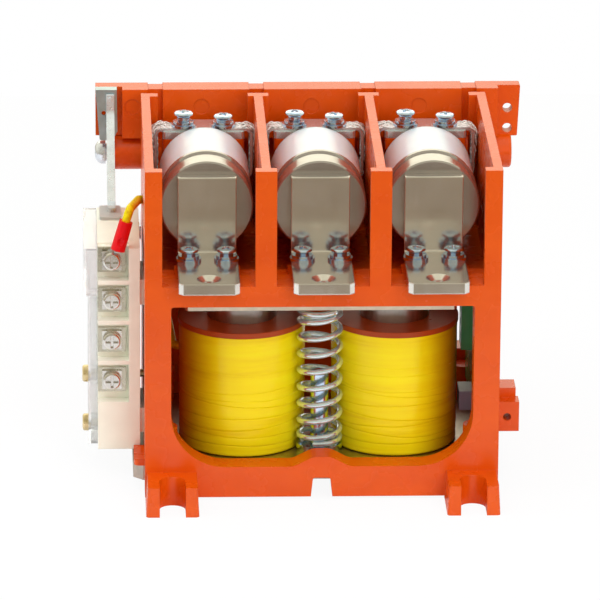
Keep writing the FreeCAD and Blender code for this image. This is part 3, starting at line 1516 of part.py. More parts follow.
def bridge_zs():
    """Upper bridge starts open above its pads, lower bridge starts closed under its pads."""
    travel = (PIVOT_Y - PLUNGER_Y) * math.radians(OPEN_ANGLE)
    upper = PAIR_ZS[0] + FINGER_T / 2 + travel + 0.05
    lower = PAIR_ZS[1] - FINGER_T / 2 - 1.0 - 0.05
    return upper, lower


def make_aux_cover():
    low = box(COVER_LEFT, AUX_LEFT - SEAT_GAP / 3, AUX_FACE + 2, AUX_BACK - 1, AUX_BOTTOM, COVER_STEP + 1)
    high = box(COVER_BULGE, AUX_LEFT - SEAT_GAP / 3, AUX_FRONT, AUX_BACK - 1, COVER_STEP, AUX_TOP)
    wall = COVER_WALL
    shell = joined([low, high])
    back = AUX_BACK - 1 - wall
    step = COVER_STEP + wall
    open_x = AUX_LEFT + 1
    inner_low = box(COVER_LEFT + wall, open_x, AUX_FACE + 2 + wall, back, AUX_BOTTOM + wall, step)
    inner_high = box(COVER_BULGE + wall, open_x, AUX_FRONT + wall, back, step, AUX_TOP - wall)
    shell = shell.cut([inner_low, inner_high])
    for z in MOUNT_ZS:
        shell = shell.fuse(cyl_x(COVER_LEFT, AUX_LEFT - SEAT_GAP / 3, MOUNT_Y, z, 5.4))
    for z in MOUNT_ZS:
        shell = shell.cut(cyl_x(COVER_LEFT - 1, AUX_LEFT + 1, MOUNT_Y, z, M5_R + BORE_GAP))
    save("aux_cover", shell.removeSplitter())
    screws = []
    for z in MOUNT_ZS:
        head = cross_head(4.6, 3.2, 1.4)
        head.rotate(Vector(0, 0, 0), Vector(0, 1, 0), -90)
        shank = cyl_x(COVER_LEFT, -WALL_IN + 4.5, MOUNT_Y, z, M5_TAP_R)
        screws.append(joined([moved(head, COVER_LEFT, MOUNT_Y, z), shank]))
    save("aux_mount_screws", *screws)


# Control lead
def make_lead():
    """Sleeved lead from the left coil through the wall to the first switch screw."""
    turn = math.radians(LEAD_START_ANGLE)
    out = Vector(-math.cos(turn), math.sin(turn), 0)
    start = Vector(-COIL_X, COIL_Y, LEAD_START_Z) + out * (COIL_R + 0.1)
    points = [
        start,
        start + out * 5.4,
        Vector(LEAD_X + 2.0, LEAD_Y, SILL_BOTTOM - 23.7),
        Vector(LEAD_X, LEAD_Y, SILL_BOTTOM - 7.7),
        Vector(LEAD_X, LEAD_Y, LEAD_Z),
        Vector(LEAD_X - 10.3, LEAD_Y - 12.0, LEAD_Z + 5.2),
        Vector(SLEEVE_TOP[0] + 1.9, SLEEVE_TOP[1] + 0.2, SLEEVE_TOP[2] + 6.8),
        Vector(*SLEEVE_TOP),
    ]
    radii = [0, 4.0, 9.0, 9.0, 5.2, 9.0, 5.0, 0]
    save("lead_sleeve", pipe(points, radii, LEAD_R))
    sleeve = crimp_shell()
    save("crimp_sleeve", sleeve)
    save("lead_lug", crimp_lug().cut(sleeve))


def crimp_shell():
    """Tapered crimp sleeve with a pressed dent in its front."""
    top = Vector(*SLEEVE_TOP)
    along = Vector(*SLEEVE_BOTTOM) - top
    shell = Part.makeCone(CRIMP_R - CRIMP_TAPER, CRIMP_R, along.Length, top, along)
    dent = top + along * 0.65 - Vector(0, CRIMP_R + DENT_R - DENT_D, 0)
    return shell.cut([Part.makeCylinder(CRIMP_BORE, along.Length, top, along), Part.makeSphere(DENT_R, dent)])


def crimp_lug():
    """Lug: tongue under the clamp plate, folded neck and barrel."""
    bottom = Vector(*SLEEVE_BOTTOM)
    along = Vector(*SLEEVE_TOP) - bottom
    neck_low = AUX_FIRST + CLAMP_PLATE_HALF + 0.1
    neck_high = neck_low + 0.8
    back = AUX_FACE - STRIP_T
    tongue = profile_y(
        [
            (AUX_SCREW_X - 4.4, AUX_FIRST - 3.6),
            (AUX_SCREW_X + 4.4, AUX_FIRST - 3.6),
            (AUX_SCREW_X + 4.4, neck_high),
            (AUX_SCREW_X - 1.0, neck_high),
            (AUX_SCREW_X - 4.4, AUX_FIRST + 3.4),
        ],
        [3.6, 3.6, 0, 0, 1.0],
        back - LUG_T,
        back,
    )
    tongue = tongue.cut(cyl_y(AUX_SCREW_X, AUX_FRONT - 5, AUX_FACE + 1, AUX_FIRST, 2.2))
    neck = box(bottom.x - 1.9, bottom.x + 1.5, bottom.y - 1.5, back, neck_low, neck_high)
    barrel = Part.makeCylinder(CRIMP_BORE - 0.1, along.Length + 0.8, bottom - along.normalize() * 0.8, along)
    return joined([tongue, neck, barrel])


def pipe(points, radii, radius):
    """Round lead along straight runs joined by tangent arcs."""
    edges = []
    last = points[0]
    for i in range(1, len(points)):
        here = points[i]
        if i < len(points) - 1:
            before = (points[i - 1] - here).normalize()
            after = (points[i + 1] - here).normalize()
            half = before.getAngle(after) / 2
            reach = radii[i] / math.tan(half)
            middle = (before + after).normalize()
            centre = here + middle * (radii[i] / math.sin(half))
            start = here + before * reach
            stop = here + after * reach
            edges.append(Part.makeLine(last, start))
            edges.append(Part.Arc(start, centre - middle * radii[i], stop).toShape())
            last = stop
        else:
            edges.append(Part.makeLine(last, here))
    wire = Part.Wire(edges)
    direction = (points[1] - points[0]).normalize()
    section = Part.Wire(Part.Circle(points[0], direction, radius).toShape())
    print("lead length %.1f mm" % wire.Length, "bend radii", [r for r in radii if r])
    return wire.makePipeShell([section], True, True)


# Coil board
def make_board():
    """Economy board of the coils on the right wall."""
    board = box(BOARD_X, BOARD_X + BOARD_T, BOARD_Y0, BOARD_Y1, BOARD_Z0, BOARD_Z1)
    save("coil_board", board)
    face = BOARD_X - TERMINAL_DEPTH
    block = box(face, BOARD_X, BOARD_Y0 + 10, BOARD_Y0 + 26, BOARD_Z1 - 36, BOARD_Z1 - 2)
    ports = [cyl_x(face - 1, face + 3.4, BOARD_Y0 + 18, BOARD_Z1 - 30 + 7.5 * k, 2.2) for k in range(4)]
    save("board_terminal_block", block.cut(ports))
    face = BOARD_X - RELAY_DEPTH
    relay = box(face, BOARD_X, BOARD_Y0 + 4, BOARD_Y0 + 20, BOARD_Z0 + 2, BOARD_Z0 + 12.6)
    save("board_relay", relay)


make_frame()
make_terminals()
make_tubes()
make_magnet()
make_return_spring()
make_arm()
make_aux_body()
make_aux_inside()
make_aux_cover()
make_lead()
make_board()
print("nodes", len(os.listdir("parts")))
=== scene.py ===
import math

import bpy
import numpy as np
from mathutils import Matrix, Vector


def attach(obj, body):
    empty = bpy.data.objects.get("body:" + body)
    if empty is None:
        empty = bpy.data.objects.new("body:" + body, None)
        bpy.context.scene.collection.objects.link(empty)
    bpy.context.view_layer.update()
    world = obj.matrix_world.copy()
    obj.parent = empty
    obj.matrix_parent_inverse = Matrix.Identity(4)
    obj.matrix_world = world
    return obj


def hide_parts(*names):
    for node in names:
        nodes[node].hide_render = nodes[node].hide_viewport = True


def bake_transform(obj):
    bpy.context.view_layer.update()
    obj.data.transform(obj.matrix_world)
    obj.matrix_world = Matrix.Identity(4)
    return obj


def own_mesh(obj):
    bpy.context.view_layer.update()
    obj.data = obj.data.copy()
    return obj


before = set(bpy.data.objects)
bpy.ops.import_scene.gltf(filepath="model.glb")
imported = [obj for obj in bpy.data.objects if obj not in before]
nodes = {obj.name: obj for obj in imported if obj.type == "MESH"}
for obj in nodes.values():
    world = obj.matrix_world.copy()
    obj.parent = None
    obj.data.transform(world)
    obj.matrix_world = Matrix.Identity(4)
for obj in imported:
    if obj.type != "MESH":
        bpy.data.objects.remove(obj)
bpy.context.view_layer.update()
# flexible_copy reads the matrices of the loaded nodes.
bpy.context.view_layer.update()

MM = 0.001

# Places and sizes below are in millimetres, unless a comment says otherwise.
POLES = (-60.0, 0.0, 60.0)

# Camera, fitted to the photograph: place, near and far in metres, angles in degrees
CAMERA_PLACE = (-0.13816, -3.06277, 1.13718)
CAMERA_HEADING = 2.355
CAMERA_FALL = 18.5
CAMERA_ROLL = 0.4125
CAMERA_LENS = 369.96
CAMERA_SENSOR = 36
CAMERA_NEAR = 0.1
CAMERA_FAR = 50

# Studio: place on the ramp and colour of each stop
SKY_LOW = (0.40, (0.55, 0.45, 0.32))
SKY_HIGH = (0.56, (1.0, 0.95, 0.74))
STUDIO_FRONT = (0.25, (0.58, 0.56, 0.54))
STUDIO_BACK = (0.62, (1, 1, 1))
WHITE = (1, 1, 1)
AMBIENT_COLOR = (0.97, 0.98, 1.0)
AMBIENT = 0.40
PAPER = (0.92, 0.92, 0.92)
PAPER_GLOW_SHARE = 0.93
# Corners in metres. Past the front edge the camera sees the world, which is as white.
FLOOR_CORNERS = [(-0.75, -0.245, 0), (0.75, -0.36, 0), (0.75, 0.75, 0), (-0.75, 0.75, 0)]

# Windings: middle of a coil, radius of its solid, and the edges of the film
COIL_X = 40.8
COIL_Y = 59.4
COIL_R = 34.0
TAPE_LOW = 14.8
TAPE_TOP = 81.3
# Radius and height of the film's inner edges, below and above
TAPE_INNER = ((28.2, TAPE_LOW), (30.0, TAPE_TOP))
# Points round the film, and rings up it
TAPE_AROUND = 288
TAPE_UP = 220
# How far the film lies inside the solid's radius: mean, ripple and limits
TAPE_DEPTH = 0.22
TAPE_RIPPLE = 0.10
TAPE_RIPPLE_WAVES = 10
TAPE_WAVE_REACH = 0.10
TAPE_SHALLOWEST = 0.02
TAPE_DEEPEST = 1.0
# An overlap's edge wanders up and down, has a lip, and fades out below it.
LAP_WANDER = 0.35
LAP_WANDER_WAVES = 6
LAP_FADE = 4.0
LAP_LIP = 0.35
# At the bottom the film is rounded in.
HEM_HEIGHT = 1.4
HEM_DEPTH = 0.8
HEM_ROUNDNESS = 0.98
# Painted shade: the film turns browner between these distances from the middle of the part, where
# the frame's walls shade the coils' outer sides.
SIDE_SHADE_FROM = COIL_X + 8.0
SIDE_SHADE_TO = COIL_X + 33.0
SIDE_SHADE_TINT = (0.54, 0.31, 0.40)
# Height, tilt, direction of the tilt in radians, and step of each overlap
LEFT_LAPS = (
    (77.0, 0.4, 0.5, 0.10),
    (62.0, 1.2, 2.2, 0.10),
    (50.5, 1.8, 0.4, 0.20),
    (46.5, 1.0, 1.5, 0.16),
    (42.0, 2.2, 3.4, 0.24),
    (34.5, 1.4, 5.0, 0.22),
    (31.0, 2.0, 0.8, 0.20),
    (26.0, 1.0, 2.6, 0.18),
    (20.0, 0.8, 4.0, 0.26),
)
RIGHT_LAPS = (
    (78.0, 0.4, 1.5, 0.08),
    (63.0, 1.0, 4.2, 0.16),
    (57.5, 2.0, 4.9, 0.20),
    (52.0, 1.6, 1.9, 0.18),
    (47.5, 2.6, 3.3, 0.24),
    (41.5, 1.2, 5.4, 0.20),
    (36.0, 2.2, 2.5, 0.22),
    (31.5, 1.6, 0.3, 0.20),
    (26.0, 2.2, 3.0, 0.24),
    (20.5, 1.0, 4.4, 0.26),
)
# Piece, node that it replaces, middle of the coil, seed, overlaps
TAPES = (
    ("tape_left", "coil_winding_left", -COIL_X, 4, LEFT_LAPS),
    ("tape_right", "coil_winding_right", COIL_X, 9, RIGHT_LAPS),
)

# Braids: the middle line of a strap, measured out from the middle of its pole
BRAID_OUT = 25.8
BRAID_R = 3.6
BRAID_HIGH = 168.25
BRAID_LOW = 141.25
BRAID_Y = 126.0
BRAID_TOP_END = 15.5
BRAID_LOW_END = 10.0
BRAID_SAMPLES = 64
BRAID_SEED = 21
STRANDS = 26
STRAND_RIM = 5
STRAND_RADII = (0.30, 0.46)
# Across the strap: zigzag over its width, with a slow sway
STRAND_REACH = 4.9
STRAND_SWAY = 0.35
STRAND_LIMIT = 5.3
STRAND_CROSSINGS = 3.1
# Off the strap: mean lift, weave, slow wander, and loose arcs at the shoulder.
# Places and lengths along the strap are shares of its length.
STRAND_LIFT = 0.62
STRAND_WEAVE = 0.24
STRAND_WEAVES = 9.0
STRAND_WANDER = 0.22
LOOSE_ARCS = (0.2, 2.0)
SHOULDERS = (0.20, 0.36)
SHOULDER_LENGTH = 0.13
END_LENGTH = 0.06

# Terminal screws: distance from the pole's middle, Y, and height of the seat.
# The rear seats differ on the two sides of a pole.
SCREW_SEED = 12
FRONT_SCREW = (10.0, 27.6, 127.8)
REAR_SCREW = (10.7, 125.5)
REAR_SEATS = {-1: 173.6, 1: 172.0}
CROWN_TOP = 3.8
CROWN_CURVE = 0.021
CROWN_RINGS = [0.25 * k for k in range(1, 18)]
# Radius and height over the seat, from the edge of the crown to the end of the shank
SCREW_PROFILE = (
    (4.35, 3.40), (5.05, 2.95), (5.30, 2.50), (5.15, 2.10), (4.40, 1.85),
    (3.85, 1.50), (3.60, 0.90), (3.70, 0.0), (3.0, -0.05), (3.0, -12.4),
)
SCREW_AROUND = 72
# Crossed recess: half width and reach of an arm, depth, and width of the sloping
# walls and ends
RECESS_HALF = 0.62
RECESS_REACH = 2.9
RECESS_DEPTH = 1.5
RECESS_WALL = 0.22
RECESS_END = 1.1

# Return spring: wire, coil, heights of the wire's middle at both ends, start in degrees
WIRE_R = 1.6
WIRE_MEAN_R = 10.75
SPRING_Y = 35.77
SPRING_LOW = 21.85
SPRING_HIGH = 95.12
SPRING_TURNS = 9.18
SPRING_START = 251.2
CLOSED_PITCH = 3.3
SPRING_STEPS = 460
SPRING_RIM = 14

# Edges sharper than these angles, in radians, stay sharp.
SOLID_SHARP = 0.6
SCREW_SHARP = 0.7


# Camera

def make_camera():
    """Camera of the photograph, turned by its heading, its fall and its roll."""
    heading = math.radians(CAMERA_HEADING)
    fall = math.radians(CAMERA_FALL)
    roll = math.radians(CAMERA_ROLL)
    forward = Vector((
        math.sin(heading) * math.cos(fall),
        math.cos(heading) * math.cos(fall),
        -math.sin(fall),
    ))
    level = Vector((math.cos(heading), -math.sin(heading), 0))
    upward = level.cross(forward)
    right = level * math.cos(roll) + upward * math.sin(roll)
    up = upward * math.cos(roll) - level * math.sin(roll)
    data = bpy.data.cameras.new("camera")
    data.sensor_width = CAMERA_SENSOR
    data.lens = CAMERA_LENS
    data.clip_start = CAMERA_NEAR
    data.clip_end = CAMERA_FAR
    camera = bpy.data.objects.new("camera", data)
    turn = Matrix((right, up, -forward)).transposed().to_4x4()
    camera.matrix_world = Matrix.Translation(Vector(CAMERA_PLACE)) @ turn
    bpy.context.scene.collection.objects.link(camera)
    bpy.context.scene.camera = camera


# Lamps, world and floor

def area_light(name, place, target, size, power, color=WHITE, mirrored=False):
    """Soft lamp that the camera doesn't see. Metal shows it only where it is mirrored."""
    data = bpy.data.lights.new(name, "AREA")
    data.shape = "RECTANGLE"
    data.size, data.size_y = size
    data.energy = power
    data.color = color
    lamp = bpy.data.objects.new(name, data)
    lamp.location = place
    aim = Vector(target) - Vector(place)
    lamp.rotation_euler = aim.to_track_quat("-Z", "Y").to_euler()
    lamp.visible_camera = False
    lamp.visible_glossy = mirrored
    bpy.context.scene.collection.objects.link(lamp)


def make_lights():
    """Place, target and size of each lamp in metres, then its power in watts."""
    area_light("overhead", (-0.10, -0.20, 1.15), (0, 0.08, 0.1), (1.5, 1.1), 10.4)
    area_light("front_fill", (0.55, -1.35, 0.62), (0, 0.05, 0.09), (0.9, 0.9), 10.4)
    area_light("back_top", (0.05, 1.25, 0.75), (0, 0.1, 0.15), (1.8, 0.7), 4.3,
               (1.0, 0.96, 0.80), mirrored=True)
    area_light("left_strip", (-1.2, -0.1, 0.45), (0, 0.05, 0.1), (0.5, 1.0), 4.4,
               (0.95, 0.98, 1.0))


def from_signed(tree, value):
    """Value between -1 and 1, brought to 0 to 1."""
    node = tree.nodes.new("ShaderNodeMath")
    node.operation = "MULTIPLY_ADD"
    node.inputs[1].default_value = 0.5
    node.inputs[2].default_value = 0.5
    tree.links.new(value, node.inputs[0])
    return node.outputs[0]


def two_tones(tree, value, low, high):
    """Colour between two stops."""
    node = tree.nodes.new("ShaderNodeValToRGB")
    first, second = node.color_ramp.elements
    first.position, first.color = low[0], (*low[1], 1)
    second.position, second.color = high[0], (*high[1], 1)
    tree.links.new(value, node.inputs[0])
    return node.outputs[0]


def background(tree, color, strength):
    """Light from the world, of one colour until another is linked to it."""
    node = tree.nodes.new("ShaderNodeBackground")
    node.inputs["Color"].default_value = (*color, 1)
    node.inputs["Strength"].default_value = strength
    return node


def mixed(tree, share, first, second):
    """Mix of two shaders. A share of one is all of the second."""
    node = tree.nodes.new("ShaderNodeMixShader")
    tree.links.new(share, node.inputs[0])
    tree.links.new(first, node.inputs[1])
    tree.links.new(second, node.inputs[2])
    return node.outputs[0]


def make_world():
    """White for the camera and through glass; a studio, darker low and in front, for metal."""
    world = bpy.data.worlds.new("studio")
    bpy.context.scene.world = world
    world.use_nodes = True
    tree = world.node_tree
    tree.nodes.clear()
    add = tree.nodes.new
    link = tree.links.new
    path = add("ShaderNodeLightPath")
    where = add("ShaderNodeTexCoord")
    split = add("ShaderNodeSeparateXYZ")
    link(where.outputs["Generated"], split.inputs[0])
    height = two_tones(tree, from_signed(tree, split.outputs["Z"]), SKY_LOW, SKY_HIGH)
    depth = two_tones(tree, from_signed(tree, split.outputs["Y"]), STUDIO_FRONT, STUDIO_BACK)
    studio = add("ShaderNodeMix")
    studio.data_type = "RGBA"
    studio.blend_type = "MULTIPLY"
    studio.inputs["Factor"].default_value = 1.0
    link(height, studio.inputs["A"])
    link(depth, studio.inputs["B"])
    reflected = background(tree, WHITE, 1.0)
    link(studio.outputs["Result"], reflected.inputs["Color"])
    ambient = background(tree, AMBIENT_COLOR, AMBIENT)
    white = background(tree, WHITE, 1.0)
    lit = mixed(tree, path.outputs["Is Glossy Ray"], ambient.outputs[0], reflected.outputs[0])
    seen = add("ShaderNodeMath")
    seen.operation = "MAXIMUM"
    link(path.outputs["Is Camera Ray"], seen.inputs[0])
    link(path.outputs["Is Transmission Ray"], seen.inputs[1])
    out = add("ShaderNodeOutputWorld")
    link(mixed(tree, seen.outputs[0], lit, white.outputs[0]), out.inputs["Surface"])


def make_floor():
    """White sheet under the part, almost pure white for the camera, with a soft shadow."""
    mesh = bpy.data.meshes.new("floor")
    mesh.from_pydata(FLOOR_CORNERS, [], [(0, 1, 2, 3)])
    floor = bpy.data.objects.new("floor", mesh)
    bpy.context.scene.collection.objects.link(floor)
    material = bpy.data.materials.new("floor_sheet")
    material.use_nodes = True
    tree = material.node_tree
    tree.nodes.clear()
    path = tree.nodes.new("ShaderNodeLightPath")
    paper = tree.nodes.new("ShaderNodeBsdfDiffuse")
    paper.inputs["Color"].default_value = (*PAPER, 1)
    glow = tree.nodes.new("ShaderNodeEmission")
    glow.inputs["Color"].default_value = (*WHITE, 1)
    glow.inputs["Strength"].default_value = 1.0
    share = tree.nodes.new("ShaderNodeMath")
    share.operation = "MULTIPLY"
    share.inputs[1].default_value = PAPER_GLOW_SHARE
    tree.links.new(path.outputs["Is Camera Ray"], share.inputs[0])
    out = tree.nodes.new("ShaderNodeOutputMaterial")
    surface = mixed(tree, share.outputs[0], paper.outputs[0], glow.outputs[0])
    tree.links.new(surface, out.inputs["Surface"])
    mesh.materials.append(material)


# Materials

class Shader:
    """A principled material with helpers for colour variation, roughness, bump and edges."""

    def __init__(self, name, color, rough, metallic=0.0, **sockets):
        self.material = bpy.data.materials.new(name)
        self.material.use_nodes = True
        self.tree = self.material.node_tree
        self.shader = self.tree.nodes["Principled BSDF"]
        self.normal = None
        self.set(Base_Color=(*color, 1), Roughness=rough, Metallic=metallic, **sockets)
        self.where = self.tree.nodes.new("ShaderNodeTexCoord").outputs["Object"]

    def set(self, **sockets):
        """Values of the shader's own sockets, with _ for each space in a name."""
        for socket, value in sockets.items():
            self.shader.inputs[socket.replace("_", " ")].default_value = value

    def add(self, kind, **values):
        """New node with these properties."""
        node = self.tree.nodes.new(kind)
        for key, value in values.items():
            setattr(node, key, value)
        return node

    def link(self, a, b):
        self.tree.links.new(a, b)

    def stretched(self, scale):
        """Object coordinates stretched along the axes."""
        mapping = self.add("ShaderNodeMapping")
        mapping.inputs["Scale"].default_value = scale
        self.link(self.where, mapping.inputs["Vector"])
        return mapping.outputs[0]

    def noise(self, scale, detail=3.0, stretch=None, roughness=0.5):
        """Noise in object coordinates, stretched along the axes if asked."""
        node = self.add("ShaderNodeTexNoise")
        node.inputs["Scale"].default_value = scale
        node.inputs["Detail"].default_value = detail
        node.inputs["Roughness"].default_value = roughness
        self.link(self.stretched(stretch) if stretch else self.where, node.inputs["Vector"])
        return node.outputs["Fac"]

    def ramp(self, value, stops):
        """Colour between stops of (place, colour)."""
        node = self.add("ShaderNodeValToRGB")
        elements = node.color_ramp.elements
        elements[0].position, elements[0].color = stops[0][0], (*stops[0][1], 1)
        elements[1].position, elements[1].color = stops[-1][0], (*stops[-1][1], 1)
        for place, color in stops[1:-1]:
            elements.new(place).color = (*color, 1)
        self.link(value, node.inputs[0])
        return node.outputs[0]

    def tint(self, value, stops):
        """Base colour from a value through colour stops."""
        self.link(self.ramp(value, stops), self.shader.inputs["Base Color"])

    def rough(self, value, low, high):
        """Roughness between low and high, from a value between 0 and 1."""
        node = self.add("ShaderNodeMapRange")
        node.inputs["To Min"].default_value = low
        node.inputs["To Max"].default_value = high
        self.link(value, node.inputs["Value"])
        self.link(node.outputs[0], self.shader.inputs["Roughness"])

    def edges(self, radius):
        """Softly rounded edges. The radius is in metres."""
        node = self.add("ShaderNodeBevel", samples=4)
        node.inputs["Radius"].default_value = radius
        self.bend(node)

    def bump(self, value, strength, distance):
        """Relief. The distance is in metres."""
        node = self.add("ShaderNodeBump")
        node.inputs["Strength"].default_value = strength
        node.inputs["Distance"].default_value = distance
        self.link(value, node.inputs["Height"])
        self.bend(node)

    def bend(self, node):
        """Adds a node to the chain of nodes that bend the surface's normal."""
        if self.normal is not None:
            self.link(self.normal, node.inputs["Normal"])
        self.normal = node.outputs["Normal"]
        self.link(self.normal, self.shader.inputs["Normal"])


def darker(color, share):
    """This share of the colour."""
    return tuple(share * c for c in color)


def orange_plastic():
    """Glossy moulded orange with faint flow marks and a fine skin texture."""
    s = Shader("orange_moulding", (0.70, 0.080, 0.0015), 0.26, Specular_IOR_Level=0.36)
    flow = s.noise(28, 4, (1, 1, 2.2))
    s.tint(flow, [(0.30, (0.67, 0.072, 0.0012)), (0.72, (0.73, 0.090, 0.002))])
    s.rough(s.noise(60, 3), 0.20, 0.34)
    s.edges(0.0005)
    s.bump(s.noise(900, 2), 0.08, 0.0002)
    s.bump(s.noise(35, 2), 0.05, 0.0015)
    return s.material


def nickel(name, color, low, high, edge=0.0004, metallic=1.0):
    """Polished plating: faint brushed streaks and slow dents that bend reflections."""
    s = Shader(name, color, low, metallic)
    s.rough(s.noise(240, 4, (1, 1, 0.12)), low, high)
    s.tint(s.noise(45, 3), [(0.3, darker(color, 0.88)), (0.7, color)])
    s.edges(edge)
    s.bump(s.noise(26, 2), 0.12, 0.002)
    s.bump(s.noise(700, 2, (1, 1, 0.1)), 0.04, 0.0001)
    return s.material


def steel(name, color, low, high, streak=(1, 1, 1), metallic=1.0):
    """Rolled or drawn metal with fine streaks."""
    s = Shader(name, color, low, metallic)
    s.rough(s.noise(420, 4, streak), low, high)
    s.tint(s.noise(160, 4, streak), [(0.3, darker(color, 0.82)), (0.68, color)])
    s.edges(0.0003)
    s.bump(s.noise(800, 3, streak), 0.10, 0.0002)
    return s.material


def zinc_bolt():
    """Bright blue-passivated zinc."""
    s = Shader("blue_zinc", (0.58, 0.73, 0.93), 0.16, 1.0)
    s.tint(s.noise(330, 3), [
        (0.28, (0.40, 0.54, 0.76)), (0.5, (0.58, 0.73, 0.93)), (0.75, (0.74, 0.85, 0.98)),
    ])
    s.rough(s.noise(700, 3), 0.10, 0.26)
    s.edges(0.0003)
    s.bump(s.noise(900, 2), 0.08, 0.0002)
    return s.material


def plastic(name, color, low, high, grain=0.06, edge=0.0004, **sockets):
    """Moulded plastic with a fine grain."""
    s = Shader(name, color, low, 0.0, **sockets)
    s.tint(s.noise(55, 4), [(0.3, darker(color, 0.92)), (0.7, color)])
    s.rough(s.noise(140, 3), low, high)
    s.edges(edge)
    s.bump(s.noise(1100, 2), grain, 0.0002)
    return s.material


def ceramic():
    """White glazed ceramic that light goes into."""
    s = Shader("glazed_ceramic", (0.85, 0.85, 0.84), 0.2, 0.0, Specular_IOR_Level=0.2)
    s.tint(s.noise(70, 3), [(0.3, (0.81, 0.81, 0.80)), (0.7, (0.85, 0.85, 0.84))])
    s.set(Subsurface_Weight=1.0, Subsurface_Scale=0.010, Subsurface_Radius=(1.0, 0.70, 0.62))
    s.set(Coat_Weight=0.05, Coat_Roughness=0.08)
    s.bump(s.noise(90, 2), 0.05, 0.001)
    return s.material


def tape():
    """Glossy yellow film with painted shade: browner towards the outer sides, and darker in
    streaks that stand for shade in the creases.
    """
    s = Shader("yellow_tape", (0.97, 0.72, 0.004), 0.22, 0.0, Specular_IOR_Level=0.24)
    # Painted shade: the darker streaks of the film stand for shade in the creases.
    film = s.ramp(s.noise(30, 5, (0.30, 0.30, 5.0), 0.6), [
        (0.30, (0.84, 0.60, 0.003)), (0.45, (0.95, 0.74, 0.004)), (0.7, (0.98, 0.82, 0.006)),
    ])
    split = s.add("ShaderNodeSeparateXYZ")
    s.link(s.where, split.inputs[0])
    size = s.add("ShaderNodeMath", operation="ABSOLUTE")
    s.link(split.outputs["X"], size.inputs[0])
    # Painted shade: the film darkens towards the outer sides, away from the middle of the part.
    side = s.add("ShaderNodeMapRange")
    side.inputs["From Min"].default_value = SIDE_SHADE_FROM * MM
    side.inputs["From Max"].default_value = SIDE_SHADE_TO * MM
    s.link(size.outputs[0], side.inputs["Value"])
    mix = s.add("ShaderNodeMix", data_type="RGBA", blend_type="MULTIPLY")
    mix.inputs["B"].default_value = (*SIDE_SHADE_TINT, 1)
    s.link(side.outputs[0], mix.inputs["Factor"])
    s.link(film, mix.inputs["A"])
    s.link(mix.outputs["Result"], s.shader.inputs["Base Color"])
    s.rough(s.noise(120, 3, (0.5, 0.5, 4.0)), 0.14, 0.32)
    s.bump(s.noise(95, 5, (0.25, 0.25, 3.2), 0.6), 0.18, 0.0010)
    return s.material


def clear_plastic(name, color, rough, weight):
    """Plastic that lets light through. The weight says how much."""
    s = Shader(name, color, rough, 0.0, Transmission_Weight=weight, IOR=1.46)
    s.tint(s.noise(50, 3), [(0.3, darker(color, 0.97)), (0.7, color)])
    s.rough(s.noise(90, 3), rough * 0.8, rough * 1.3)
    s.bump(s.noise(160, 2), 0.05, 0.0006)
    return s.material


def copper():
    """Turned copper, browner in patches."""
    s = Shader("machined_copper", (0.83, 0.42, 0.28), 0.24, 1.0)
    s.tint(s.noise(80, 4), [(0.3, (0.62, 0.28, 0.17)), (0.7, (0.86, 0.46, 0.31))])
    s.rough(s.noise(300, 3), 0.18, 0.38)
    s.bump(s.noise(900, 2, (1, 0.1, 1)), 0.08, 0.0002)
    return s.material


def board():
    """Green lacquer with paler tracks."""
    s = Shader("green_lacquer", (0.04, 0.20, 0.06), 0.25)
    tracks = s.add("ShaderNodeTexBrick")
    tracks.inputs["Scale"].default_value = 90
    tracks.inputs["Color1"].default_value = (0.035, 0.18, 0.055, 1)
    tracks.inputs["Color2"].default_value = (0.045, 0.23, 0.068, 1)
    tracks.inputs["Mortar"].default_value = (0.07, 0.32, 0.10, 1)
    s.link(s.where, tracks.inputs["Vector"])
    s.link(tracks.outputs["Color"], s.shader.inputs["Base Color"])
    s.rough(s.noise(90, 3), 0.2, 0.35)
    s.bump(s.noise(500, 2), 0.06, 0.0002)
    return s.material


def sleeving():
    """Varnished woven sleeve."""
    s = Shader("yellow_sleeve", (0.85, 0.68, 0.008), 0.35, Specular_IOR_Level=0.12)
    s.tint(s.noise(420, 4), [(0.35, (0.72, 0.54, 0.004)), (0.65, (0.94, 0.80, 0.008))])
    s.rough(s.noise(200, 3), 0.25, 0.5)
    s.bump(s.noise(1600, 2), 0.3, 0.0003)
    return s.material


def strand_metal():
    """Tinned wire, dull between bright lines."""
    s = Shader("braid_strands", (0.92, 0.91, 0.86), 0.34, 0.15)
    s.tint(s.noise(700, 3), [(0.3, (0.62, 0.59, 0.52)), (0.62, (0.95, 0.94, 0.90))])
    s.rough(s.noise(500, 3), 0.16, 0.36)
    return s.material


